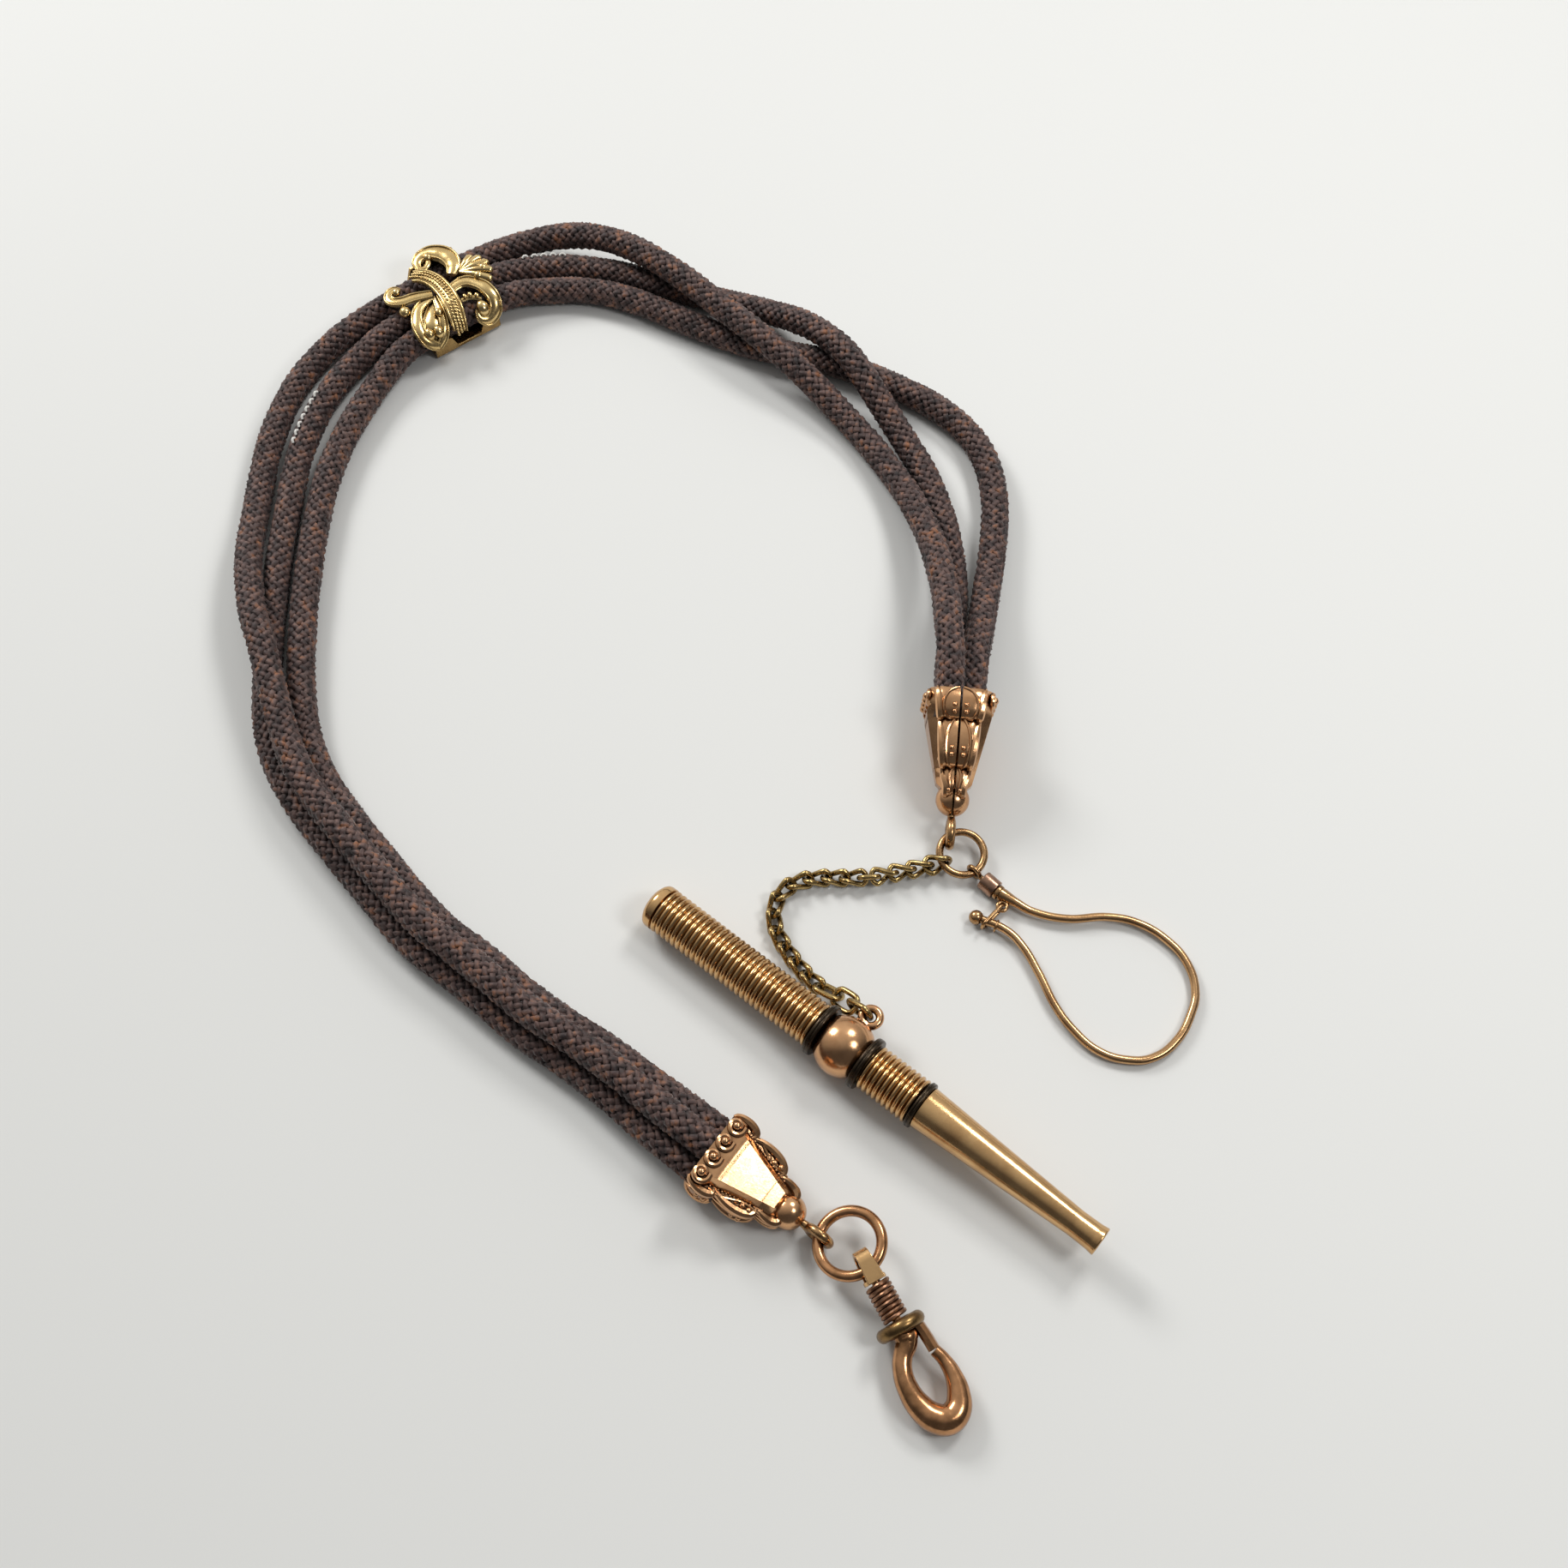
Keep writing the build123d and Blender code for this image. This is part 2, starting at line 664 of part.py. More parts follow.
def hook_section(angle):
    """The section plane of the hook's bow at an angle round its oval."""
    turn = radians(angle)
    middle = reach(clasp, hook_middle + hook_half_length * cos(turn), -hook_half_width * sin(turn))
    onward = reach(clasp, hook_half_length * sin(turn), hook_half_width * cos(turn)) - clasp.origin
    return Plane(middle, x_dir=clasp.z_dir, z_dir=onward)


head_end = shackle_floor - seat_clearance
stem = turned(clasp, (
    (head_end - stem_head_length, 0), (head_end - stem_head_length, stem_head_diameter / 2),
    (head_end, stem_head_diameter / 2), (head_end, stem_diameter / 2), (neck_start, stem_diameter / 2),
    (neck_start, neck_diameter / 2), (neck_start + neck_length, neck_diameter / 2),
    (neck_start + neck_length, 0),
))
with BuildPart() as hook:
    add(stem.part)
    neck_middle = reach(clasp, neck_start + neck_length / 2)
    with BuildSketch(Plane(neck_middle, x_dir=clasp.z_dir, z_dir=clasp.x_dir)) as first_section:
        RegularPolygon(neck_diameter / 2 - seat_clearance, side_count=wire_sides)
    sections = [first_section.sketch]
    for angle, share in hook_shares:
        with BuildSketch(hook_section(angle)) as section:
            RegularPolygon(hook_wire / 2 * share, side_count=wire_sides)
        sections.append(section.sketch)
    loft(ruled=True)
save(hook, "swivel_hook")

thimble = turned(clasp, (
    (hub_start, stem_bore), (hub_start, hub_diameter / 2), (disc_start, hub_diameter / 2),
    (disc_start, collar_diameter / 2), (disc_end, collar_diameter / 2), (disc_end, stem_bore),
))
nose = spot(hook_section(hook_shares[-1][0]), up=running_clearance)
with BuildPart() as collar:
    add(thimble.part)
    with BuildSketch(clasp):
        corners = [clasp.to_local_coords(reach(nose, 0, side * gate_width / 2)) for side in (1, -1)]
        Polygon((disc_start, gate_root - gate_width / 2), *[(corner.X, corner.Y) for corner in corners],
                (disc_start, gate_root + gate_width / 2), align=None)
    extrude(amount=gate_thickness / 2, both=True)
save(collar, "swivel_collar")

coil_radius = (spring_diameter - spring_wire) / 2
coil_rise = (spring_length - spring_wire) / spring_turns


def coil_point(turns):
    """A point of the spring's wire after a number of turns, and the wire's direction there."""
    angle = radians(360 * turns)
    across = coil_radius * cos(angle)
    up = coil_radius * sin(angle)
    point = reach(clasp, spring_start + spring_wire / 2 + coil_rise * turns, across, up)
    slope = reach(clasp, coil_rise / radians(360), -up, across) - clasp.origin
    return point, slope.normalized()


def biarc(start, start_dir, end, end_dir):
    """Two arcs that meet smoothly, from one point and direction to another."""
    span = end - start
    square = 2 * (start_dir.dot(end_dir) - 1)
    linear = -2 * span.dot(start_dir + end_dir)
    arm = (-linear - (linear ** 2 - 4 * square * span.dot(span)) ** 0.5) / (2 * square)
    middle = (start + end + (start_dir - end_dir) * arm) / 2
    TangentArc(start, middle, tangent=start_dir)
    TangentArc(middle, end, tangent=(end - end_dir * arm) - middle)


with BuildPart() as spring:
    with BuildLine() as coil:
        for quarter in range(4 * spring_turns):
            biarc(*coil_point(quarter / 4), *coil_point((quarter + 1) / 4))
    with BuildSketch(Plane(coil.wire() @ 0, z_dir=coil.wire() % 0)):
        RegularPolygon(spring_wire / 2, side_count=spring_sides)
    sweep()
save(spring, "swivel_spring")
turn_stations = 40
steps = turn_stations * spring_turns
stations = [coil.wire() @ (step / steps) for step in range(steps + 1)]
gaps = [(after - before).length for count, before in enumerate(stations)
        for after in stations[count + turn_stations // 2:]]
print("spring least gap to itself", round(min(gaps) - spring_wire, 3))


# Small ring

right_eye = reach(right_level, right_eye_reach) - Vector(0, 0, small_ring_hang)
small_ring = spot(aim(right_eye, small_ring_heading, small_ring_tip), small_ring_radius)
save(wire_ring(small_ring, small_ring_radius, small_ring_wire), "chain_ring")


# Chain: each link hooks into the one before it and turns a little from it

curb = (link_half_length, link_half_width, link_wire, link_twist)
joint = (joint_half_length, joint_half_width, link_wire, 0)
oval = (oval_half_length, oval_half_width, oval_wire, 0)
end_curb = (link_half_length, end_link_half_width, link_wire, link_twist)
chain = [(curb, *row) for row in zip(curb_headings, curb_tips, curb_rolls)]
chain[0] = (end_curb, *chain[0][1:])
chain += [(joint, joint_heading, joint_tip, joint_roll)]
chain += [(curb, *row, 0) for row in zip(long_curb_headings, long_curb_tips)]
chain += [(oval, *row) for row in zip(oval_headings, oval_tips, oval_rolls)]

ring_catch = on_ring(small_ring, small_ring_radius, chain_angle)
chain_joints = [reach(aim(ring_catch, *chain[0][1:3]), -(small_ring_wire + link_clearance) / 2)]
chain_planes = []
for (half_length, half_width, wire, twist), heading, tip, roll in chain:
    to_joint = half_length - (wire + link_clearance) / 2
    middle = reach(aim(chain_joints[-1], heading, tip), to_joint)
    chain_planes.append(aim(middle, heading, tip, roll))
    chain_joints.append(reach(chain_planes[-1], to_joint))
for count, (home, (shape, *row)) in enumerate(zip(chain_planes, chain), start=1):
    save(bent_link(home, *shape), f"chain_link_{count:02d}")


# Watch key bar

eye_catch = reach(chain_planes[-1], oval_half_length - (oval_wire + bead_eye_wire) / 2 - link_clearance)
bead_eye = reach(aim(eye_catch, oval_headings[-1]), bead_eye_radius)
bead_middle = reach(aim(bead_eye, bead_eye_heading), -bead_eye_reach)
key = aim(bead_middle, key_heading, key_tip)
shaft_bore = spindle_diameter / 2 + seat_clearance
collar_start = bead_half_length + seat_clearance
collar_end = collar_start + key_collar_length
sleeve_start = collar_end + seat_clearance
sleeve_end = sleeve_start + sleeve_length
band_start = sleeve_end + seat_clearance
band_end = band_start + band_length
pipe_start = band_end + seat_clearance
pipe_end = pipe_start + pipe_length
waist = pipe_start + pipe_length * pipe_waist_share
spindle_end = pipe_start + spindle_diameter
barrel_start = -collar_end - seat_clearance
barrel_end = barrel_start - barrel_length
dome_start = barrel_end + barrel_dome
dome_radius = (barrel_dome ** 2 + barrel_diameter ** 2 / 4) / (2 * barrel_dome)

bead_bore = spindle_diameter / 2 + running_clearance
face_turn = degrees(acos(bead_half_length * 2 / bead_diameter))
bead_points = ball_points(bead_diameter / 2, bead_bands, face_turn, 180 - face_turn)
bead_body = turned(key, (*bead_points, (bead_half_length, bead_bore), (-bead_half_length, bead_bore)))
bead_ring = wire_eye(aim(bead_eye, bead_eye_heading), bead_eye_radius, bead_eye_wire)
with BuildPart() as bead:
    add(bead_body.part)
    add(bead_ring.part)
save(bead, "key_bead")

for label, start, end, diameter in (
    ("key_front_collar", collar_start, collar_end, key_collar_diameter),
    ("key_rear_collar", -collar_end, -collar_start, key_collar_diameter),
    ("key_ribbed_sleeve", sleeve_start, sleeve_end, barrel_diameter),
    ("key_dark_band", band_start, band_end, band_diameter),
):
    save(turned(key, tube_points(start, end, diameter / 2, shaft_bore)), label)
save(turned(key, tube_points(-spindle_end, spindle_end, spindle_diameter / 2, 0)), "key_spindle")

with BuildPart() as barrel:
    with BuildSketch(side_view(key)):
        with BuildLine():
            bore_end = -spindle_end - seat_clearance
            Polyline((barrel_end, 0), (bore_end, 0), (bore_end, shaft_bore), (barrel_start, shaft_bore),
                     (barrel_start, barrel_diameter / 2), (dome_start, barrel_diameter / 2))
            RadiusArc((dome_start, barrel_diameter / 2), (barrel_end, 0), -dome_radius)
        make_face()
    revolve(axis=Axis(key.origin, key.x_dir))
save(barrel, "key_barrel")

taper = turned(key, (
    (pipe_start, shaft_bore), (pipe_start, pipe_root_diameter / 2), (waist, pipe_waist_diameter / 2),
    (pipe_end, pipe_tip_diameter / 2), (pipe_end, 0), (spindle_end + seat_clearance, 0),
    (spindle_end + seat_clearance, shaft_bore),
))
with BuildPart() as pipe:
    add(taper.part)
    with BuildSketch(end_view(key, pipe_end - socket_depth)):
        Rectangle(socket_width, socket_width)
    extrude(amount=socket_depth + overrun, mode=Mode.SUBTRACT)
save(pipe, "key_pipe")


# Charm loop

loop = aim(on_ring(small_ring, small_ring_radius, loop_angle), loop_heading, loop_tip)
ferrule_end = ferrule_start + ferrule_length
cavity = ferrule_diameter / 2 - ferrule_wall
loop_pin_bore = loop_pin_diameter / 2 + running_clearance
loop_head_start = ferrule_start + ferrule_wall + seat_clearance
loop_collar_start = ferrule_end + seat_clearance
loop_collar_end = loop_collar_start + loop_collar_length
neck_foot = loop_collar_end + seat_clearance

ring = wire_eye(spot(loop, roll=90), loop_eye_radius, loop_eye_wire)
with BuildPart() as loop_eye:
    with BuildSketch(end_view(loop, loop_eye_radius + seat_clearance)):
        Circle(loop_pin_diameter / 2)
    extrude(amount=loop_head_start - loop_eye_radius - seat_clearance)
    with BuildSketch(end_view(loop, loop_head_start)):
        Circle(loop_head_diameter / 2)
    extrude(amount=loop_head_length)
    add(ring.part)
save(loop_eye, "loop_swivel_eye")

save(turned(loop, (
    (ferrule_start, loop_pin_bore), (ferrule_start, ferrule_diameter / 2), (ferrule_end, ferrule_diameter / 2),
    (ferrule_end, cavity), (ferrule_start + ferrule_wall, cavity), (ferrule_start + ferrule_wall, loop_pin_bore),
)), "loop_ferrule")
save(turned(loop, tube_points(loop_collar_start, loop_collar_end, loop_collar_diameter / 2, cavity)),
     "loop_collar")

bow_plane = spot(loop, neck_foot, turn=loop_turn)
bow_spots = [reach(bow_plane, *point) for point in loop_points]
cone_end = bow_plane.origin + (bow_spots[0] - bow_plane.origin) * cone_share
lead_in = (bow_spots[0] - bow_plane.origin).normalized()
bow_wire = wire_along([tuple(point) for point in (cone_end, *bow_spots)], loop_wire, wire_sides, "loop")
catch_ring = wire_eye(spot(bow_plane, catch_ring_place, -catch_ring_drop), catch_ring_radius, catch_wire)
with BuildPart() as bow:
    for point, direction, size in ((bow_plane.origin, loop.x_dir, loop_neck), (cone_end, lead_in, loop_wire)):
        with BuildSketch(Plane(point, z_dir=direction)):
            RegularPolygon(size / 2, side_count=wire_sides)
    loft(ruled=True)
    add(bow_wire.part)
    add(catch_ring.part)
    with BuildSketch(end_view(loop, ferrule_end - tenon_length)):
        Circle(cavity - seat_clearance)
    extrude(amount=neck_foot - ferrule_end + tenon_length + seat_clearance)
save(bow, "loop_bow")

wire_end = bow_spots[-1]
tail_line = Plane(wire_end, x_dir=(bow_spots[-2] - wire_end).normalized(), z_dir=bow_plane.z_dir)
wire_bore = loop_wire / 2 + seat_clearance
save(turned(tail_line, tube_points(washer_place, washer_place + washer_thickness, washer_diameter / 2, wire_bore)),
     "loop_washer")

mouth_turn = 180 - degrees(asin(wire_bore * 2 / loop_ball_diameter))
ball_outline = ball_points(loop_ball_diameter / 2, ball_bands - 1, 0, mouth_turn)
save(turned(tail_line, (*ball_outline, (-seat_clearance, wire_bore), (-seat_clearance, 0))), "loop_ball")

catch_top = reach(bow_plane, catch_ring_place, -catch_ring_drop - running_clearance / 2)
catch_foot = reach(tail_line, catch_place)
catch_dir = (catch_foot - catch_top).normalized()
catch_slant = abs(catch_dir.dot(tail_line.y_dir))
catch_over = (loop_wire / 2 + catch_wire / 2 + running_clearance / 2) / catch_slant
catch_half_length = ((catch_foot - catch_top).length + catch_over) / 2
catch_home = Plane(catch_top + catch_dir * catch_half_length, x_dir=catch_dir,
                   z_dir=catch_dir.cross(bow_plane.z_dir))
save(bent_link(catch_home, catch_half_length, catch_half_width, catch_wire, 0), "loop_catch_link")
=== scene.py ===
from math import asin, atan2, cos, degrees, pi, radians, sin, tan

import bmesh
import bpy
from mathutils import Matrix, Vector


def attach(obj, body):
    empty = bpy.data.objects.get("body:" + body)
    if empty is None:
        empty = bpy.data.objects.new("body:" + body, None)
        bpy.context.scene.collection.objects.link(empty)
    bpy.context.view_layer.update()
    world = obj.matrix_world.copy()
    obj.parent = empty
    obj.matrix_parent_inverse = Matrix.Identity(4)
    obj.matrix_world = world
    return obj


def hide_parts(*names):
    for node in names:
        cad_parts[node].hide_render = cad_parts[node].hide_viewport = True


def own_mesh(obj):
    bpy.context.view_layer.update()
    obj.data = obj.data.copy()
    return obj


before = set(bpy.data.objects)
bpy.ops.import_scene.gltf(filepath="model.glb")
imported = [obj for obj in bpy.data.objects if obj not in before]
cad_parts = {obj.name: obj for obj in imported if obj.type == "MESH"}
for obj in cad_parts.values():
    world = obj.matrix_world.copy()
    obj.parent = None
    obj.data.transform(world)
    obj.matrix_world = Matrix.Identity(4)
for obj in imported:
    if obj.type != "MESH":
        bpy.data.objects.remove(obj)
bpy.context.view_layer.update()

mm = 0.001
scene = bpy.context.scene
scene.view_settings.view_transform = "Standard"


# Camera, studio and table. The view looks down at 64 degrees from the front. Soft lamps stand behind
# on the left, on the right and beside; the room is darker in front, so round metal shows them.

lens = 2075 / 1829 * 36
camera = bpy.data.objects.new("camera", bpy.data.cameras.new("camera"))
camera.data.lens = lens
camera.data.clip_start = 0.005
camera.location = (3.84 * mm, -106.72 * mm, 211.9 * mm)
camera.rotation_euler = (radians(90 - 64), 0, 0)
scene.collection.objects.link(camera)
scene.camera = camera


def linear(colour):
    """An sRGB hex colour as the linear values that a shader takes."""
    channels = [int(colour[at:at + 2], 16) / 255 for at in (1, 3, 5)]
    return (*[c / 12.92 if c <= 0.04045 else ((c + 0.055) / 1.055) ** 2.4 for c in channels], 1)


def add_node(tree, kind, inputs=None, **settings):
    """Adds a node with its settings, and with its inputs' values or the sockets that feed them."""
    made = tree.nodes.new(kind)
    for name, value in settings.items():
        setattr(made, name, value)
    for name, value in (inputs or {}).items():
        if isinstance(value, bpy.types.NodeSocket):
            tree.links.new(value, made.inputs[name])
        else:
            made.inputs[name].default_value = value
    return made


for name, spot, size, power in (
    ("left_lamp", (-340, 370, 370), 190, 1.8),
    ("right_lamp", (225, 245, 385), 125, 0.85),
    ("side_lamp", (233, -90, 322), 95, 0.36),
):
    lamp = bpy.data.objects.new(name, bpy.data.lights.new(name, "AREA"))
    lamp.data.size = size * mm
    lamp.data.energy = power
    lamp.location = Vector(spot) * mm
    lamp.rotation_euler = (-lamp.location).to_track_quat("-Z", "Y").to_euler()
    scene.collection.objects.link(lamp)

studio = bpy.data.worlds.new("studio")
scene.world = studio
studio.use_nodes = True
studio.node_tree.nodes.clear()
sky = add_node(studio.node_tree, "ShaderNodeTexCoord")
height = add_node(studio.node_tree, "ShaderNodeVectorMath", {0: sky.outputs["Generated"],
                                                            1: (-0.2, 0.8, 0.55)}, operation="DOT_PRODUCT")
shade = add_node(studio.node_tree, "ShaderNodeValToRGB", {0: height.outputs["Value"]})
shade.color_ramp.elements[0].color = (0.13, 0.13, 0.135, 1)
shade.color_ramp.elements[0].position = 0.05
shade.color_ramp.elements[1].color = (0.95, 0.95, 0.93, 1)
shade.color_ramp.elements[1].position = 0.95
glow = add_node(studio.node_tree, "ShaderNodeBackground", {"Color": shade.outputs[0], "Strength": 0.8})
add_node(studio.node_tree, "ShaderNodeOutputWorld", {0: glow.outputs[0]})

table_paint = bpy.data.materials.new("matt_pale_table")
table_paint.use_nodes = True
table_paint.node_tree.nodes["Principled BSDF"].inputs["Base Color"].default_value = linear("#dededb")
table_paint.node_tree.nodes["Principled BSDF"].inputs["Roughness"].default_value = 0.9
top = bmesh.new()
bmesh.ops.create_grid(top, x_segments=1, y_segments=1, size=1.5)
table = bpy.data.objects.new("table", bpy.data.meshes.new("table"))
top.to_mesh(table.data)
top.free()
table.data.materials.append(table_paint)
scene.collection.objects.link(table)


# Cords. Three limp tubular braids of dark brown silk, about 4 mm thick, each of sixteen soft yarns
# that pass over one and under one. They run side by side from cap to cap through the slider.

cord_routes = {
    "outer": (
        (-2.66, -55.14, 5.58), (-7.08, -51.8, 6.41), (-11.96, -47.92, 5.9), (-18.96, -42.02, 5.6),
        (-27.46, -36.72, 5.6), (-34.96, -30.12, 5.6), (-41.36, -25.52, 5.6), (-47.26, -18.72, 5.6),
        (-53.36, -11.72, 5.6), (-59.06, -4.62, 5.6), (-62.66, 3.98, 5.7), (-65.56, 13.08, 6.2),
        (-68.66, 21.18, 5.7), (-70.66, 30.18, 3.8), (-70.96, 39.68, 2.1), (-70.86, 47.78, 2.1),
        (-69.76, 55.68, 2.1), (-67.26, 62.88, 2.1), (-62.96, 69.28, 2.3), (-56.18, 74.69, 3.3),
        (-43.07, 83.87, 3.3), (-37.16, 87.18, 2.7), (-31.16, 88.58, 3.4), (-25.06, 87.48, 4.7),
        (-18.96, 84.08, 5.9), (-12.16, 78.88, 6.1), (-5.66, 72.58, 6.0), (0.24, 66.98, 6.1),
        (6.44, 61.48, 4.6), (11.14, 56.68, 2.8), (15.44, 51.58, 2.1), (19.44, 44.98, 2.4),
        (22.44, 38.18, 3.8), (24.54, 30.48, 5.7), (25.64, 21.68, 8.0), (25.74, 13.18, 10.0),
        (25.57, 8.38, 10.2), (25.09, 2.98, 8.8),
    ),
    "middle": (
        (-4.55, -56.91, 2.61), (-8.97, -53.57, 3.44), (-13.41, -49.72, 2.5), (-20.26, -43.72, 2.1),
        (-28.66, -38.32, 2.1), (-36.16, -31.72, 2.1), (-42.76, -27.22, 2.1), (-48.76, -20.12, 2.1),
        (-54.86, -13.12, 2.1), (-60.76, -5.92, 2.1), (-64.86, 2.18, 2.1), (-66.06, 11.18, 2.1),
        (-66.56, 20.68, 2.1), (-66.76, 30.18, 2.1), (-66.46, 38.68, 2.1), (-66.26, 47.18, 2.1),
        (-64.56, 55.68, 2.1), (-60.66, 63.98, 2.3), (-53.85, 71.37, 3.3), (-40.75, 80.55, 3.3),
        (-34.46, 83.28, 2.2), (-27.56, 83.58, 2.1), (-19.66, 81.88, 2.1), (-11.96, 78.88, 2.1),
        (-4.76, 76.58, 2.1), (2.34, 73.88, 2.8), (7.14, 70.38, 4.8), (12.04, 65.08, 6.2),
        (15.24, 60.38, 5.6), (18.64, 55.08, 3.4), (21.84, 49.88, 2.1), (24.84, 43.18, 2.1),
        (26.84, 35.18, 2.1), (27.64, 26.18, 2.1), (26.74, 17.18, 3.1), (25.68, 9.66, 5.26),
        (25.2, 4.26, 3.86),
    ),
    "inner": (
        (-1.48, -52.83, 2.61), (-5.9, -49.5, 3.44), (-10.56, -46.02, 2.5), (-17.76, -40.42, 2.1),
        (-26.26, -35.12, 2.1), (-33.76, -28.52, 2.1), (-39.86, -24.22, 2.1), (-45.76, -17.42, 2.1),
        (-51.76, -10.32, 2.1), (-57.36, -2.92, 2.1), (-60.46, 5.08, 2.1), (-61.76, 13.68, 2.1),
        (-62.36, 22.28, 2.1), (-62.46, 30.68, 2.1), (-62.16, 39.68, 2.1), (-61.06, 47.68, 2.1),
        (-58.56, 55.58, 2.1), (-55.06, 62.98, 2.3), (-51.53, 68.05, 3.3), (-38.42, 77.23, 3.3),
        (-31.66, 78.88, 2.2), (-24.86, 79.08, 2.1), (-17.66, 76.58, 2.1), (-10.66, 72.68, 2.1),
        (-3.16, 68.98, 2.1), (4.34, 66.78, 2.1), (11.44, 65.08, 2.1), (18.84, 61.58, 2.1),
        (26.44, 56.98, 2.1), (31.64, 51.18, 2.1), (33.94, 43.68, 2.1), (33.64, 35.18, 2.1),
        (32.14, 26.38, 2.6), (30.44, 17.68, 5.2), (28.61, 8.76, 7.73), (28.14, 3.36, 6.33),
    ),
}
braid_lay = 10.8
braid_yarns = 8
yarn_width = 0.98
yarn_middle = 1.37
yarn_wave = 0.23
core_radius = 1.3
sample_step = 0.28

# Silk braid: dyed dark brown and rubbed, so yarns show rust and grey-brown side by side; painted shade darkens the
# gaps between them
silk = bpy.data.materials.new("brown_silk_braid")
silk.use_nodes = True
tree = silk.node_tree
place = add_node(tree, "ShaderNodeTexCoord").outputs["Object"]
yarn_patch = add_node(tree, "ShaderNodeTexNoise", {"Vector": place, "Scale": 1 / (1.3 * mm), "Detail": 3.0})
fibre = add_node(tree, "ShaderNodeTexNoise", {"Vector": place, "Scale": 1 / (0.16 * mm), "Detail": 2.0})
dye = add_node(tree, "ShaderNodeValToRGB", {0: yarn_patch.outputs["Fac"]})
dye.color_ramp.elements[0].position, dye.color_ramp.elements[0].color = 0.3, linear("#221615")
dye.color_ramp.elements[1].position, dye.color_ramp.elements[1].color = 0.72, linear("#8a5838")
for position, colour in ((0.46, "#44302c"), (0.58, "#664e47")):
    dye.color_ramp.elements.new(position).color = linear(colour)
# Painted shade: ambient occlusion darkens the gaps between yarns towards near-black #120b0b
gap = add_node(tree, "ShaderNodeAmbientOcclusion", {"Distance": 1.2 * mm}, samples=4)
painted_shade_mask = add_node(tree, "ShaderNodeMapRange", {0: gap.outputs["AO"], 1: 0.25, 2: 0.8, 3: 0.85, 4: 0.0})
dye_and_painted_shade = add_node(tree, "ShaderNodeMixRGB", {0: painted_shade_mask.outputs[0], 1: dye.outputs[0], 2: linear("#120b0b")})
lint = add_node(tree, "ShaderNodeBump", {"Strength": 0.5, "Distance": 0.08 * mm, "Height": fibre.outputs["Fac"]})
silk_shader = tree.nodes["Principled BSDF"]
tree.links.new(dye_and_painted_shade.outputs[0], silk_shader.inputs["Base Color"])
tree.links.new(lint.outputs[0], silk_shader.inputs["Normal"])
silk_shader.inputs["Roughness"].default_value = 0.62
silk_shader.inputs["Sheen Weight"].default_value = 0.12
silk_shader.inputs["Sheen Roughness"].default_value = 0.4


def line_points(curve):
    """The points that a curve with no bevel runs through, in order."""
    holder = bpy.data.objects.new("line", curve)
    mesh = bpy.data.meshes.new_from_object(holder)
    points = [vertex.co.copy() for vertex in mesh.vertices]
    bpy.data.objects.remove(holder)
    bpy.data.meshes.remove(mesh)
    return points


def cord_line(route):
    """The cord's own smooth line through its route, in metres."""
    curve = bpy.data.curves.new("route", "CURVE")
    curve.dimensions = "3D"
    spline = curve.splines.new("NURBS")
    spline.points.add(len(route) - 1)
    for knot, point in zip(spline.points, route):
        knot.co = (*[c * mm for c in point], 1)
    spline.order_u = 3
    spline.use_endpoint_u = True
    spline.resolution_u = 12
    return line_points(curve)


def even_frames(points, step):
    """Points a step apart along a line, each with two directions square to it that don't twist."""
    spots, travelled = [points[0]], 0.0
    for before, after in zip(points, points[1:]):
        run = (after - before).length
        while travelled + run >= step * len(spots):
            spots.append(before.lerp(after, (step * len(spots) - travelled) / run))
        travelled += run
    frames = []
    side = Vector((0, 0, 1))
    for at, spot in enumerate(spots):
        ahead = (spots[min(at + 1, len(spots) - 1)] - spots[max(at - 1, 0)]).normalized()
        side = (side - ahead * side.dot(ahead)).normalized()
        frames.append((spot, side, ahead.cross(side)))
    return frames


for strand, route in cord_routes.items():
    line = cord_line(route)
    frames = even_frames(line, sample_step * mm)
    yarns = bpy.data.curves.new("yarns", "CURVE")
    yarns.dimensions = "3D"
    yarns.bevel_depth = yarn_width / 2 * mm
    yarns.bevel_resolution = 0
    yarns.use_fill_caps = True
    for hand in (1, -1):
        for yarn in range(braid_yarns):
            path = yarns.splines.new("POLY")
            path.points.add(len(frames) - 1)
            for at, (spot, side, over) in enumerate(frames):
                crossing = 2 * braid_yarns * at * sample_step / braid_lay
                turn = hand * pi * crossing / braid_yarns + 2 * pi * yarn / braid_yarns
                wave = hand * cos(pi * crossing)
                out = (yarn_middle + yarn_wave * wave) * mm
                path.points[at].co = (*(spot + side * out * cos(turn) + over * out * sin(turn)), 1)
    core = yarns.splines.new("POLY")
    core.points.add(len(frames) - 1)
    for knot, (spot, side, over) in zip(core.points, frames):
        knot.co = (*spot, 1)
        knot.radius = core_radius * 2 / yarn_width
    holder = bpy.data.objects.new("yarns", yarns)
    mesh = bpy.data.meshes.new_from_object(holder)
    bpy.data.objects.remove(holder)
    mesh.name = f"braid_{strand}"
    mesh.materials.clear()
    mesh.materials.append(silk)
    mesh.shade_smooth()
    braid = bpy.data.objects.new(f"braid_{strand}", mesh)
    scene.collection.objects.link(braid)
    length = sum((after - before).length for before, after in zip(line, line[1:]))
    print("cord", strand, "length", round(length, 4), "faces", len(mesh.polygons))
    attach(braid, "strap")
    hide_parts(f"cord_{strand}")
    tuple(line[0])


# Stitching: a fine white thread sewn along the middle braid either side of the slider, in short
# bright stitches that lie on its upper side
stitch_runs = ((132.6, 143.0), (179.6, 187.8))
stitch_space, stitch_width, stitch_lean = 1.4, 0.4, 28
inside_bend = Vector((-15, 20, 0)) * mm
white_thread = bpy.data.materials.new("white_sewing_thread")
white_thread.use_nodes = True
tree = white_thread.node_tree
twist = add_node(tree, "ShaderNodeTexNoise", {"Vector": add_node(tree, "ShaderNodeTexCoord").outputs["Object"],
                                              "Scale": 1 / (0.2 * mm)})
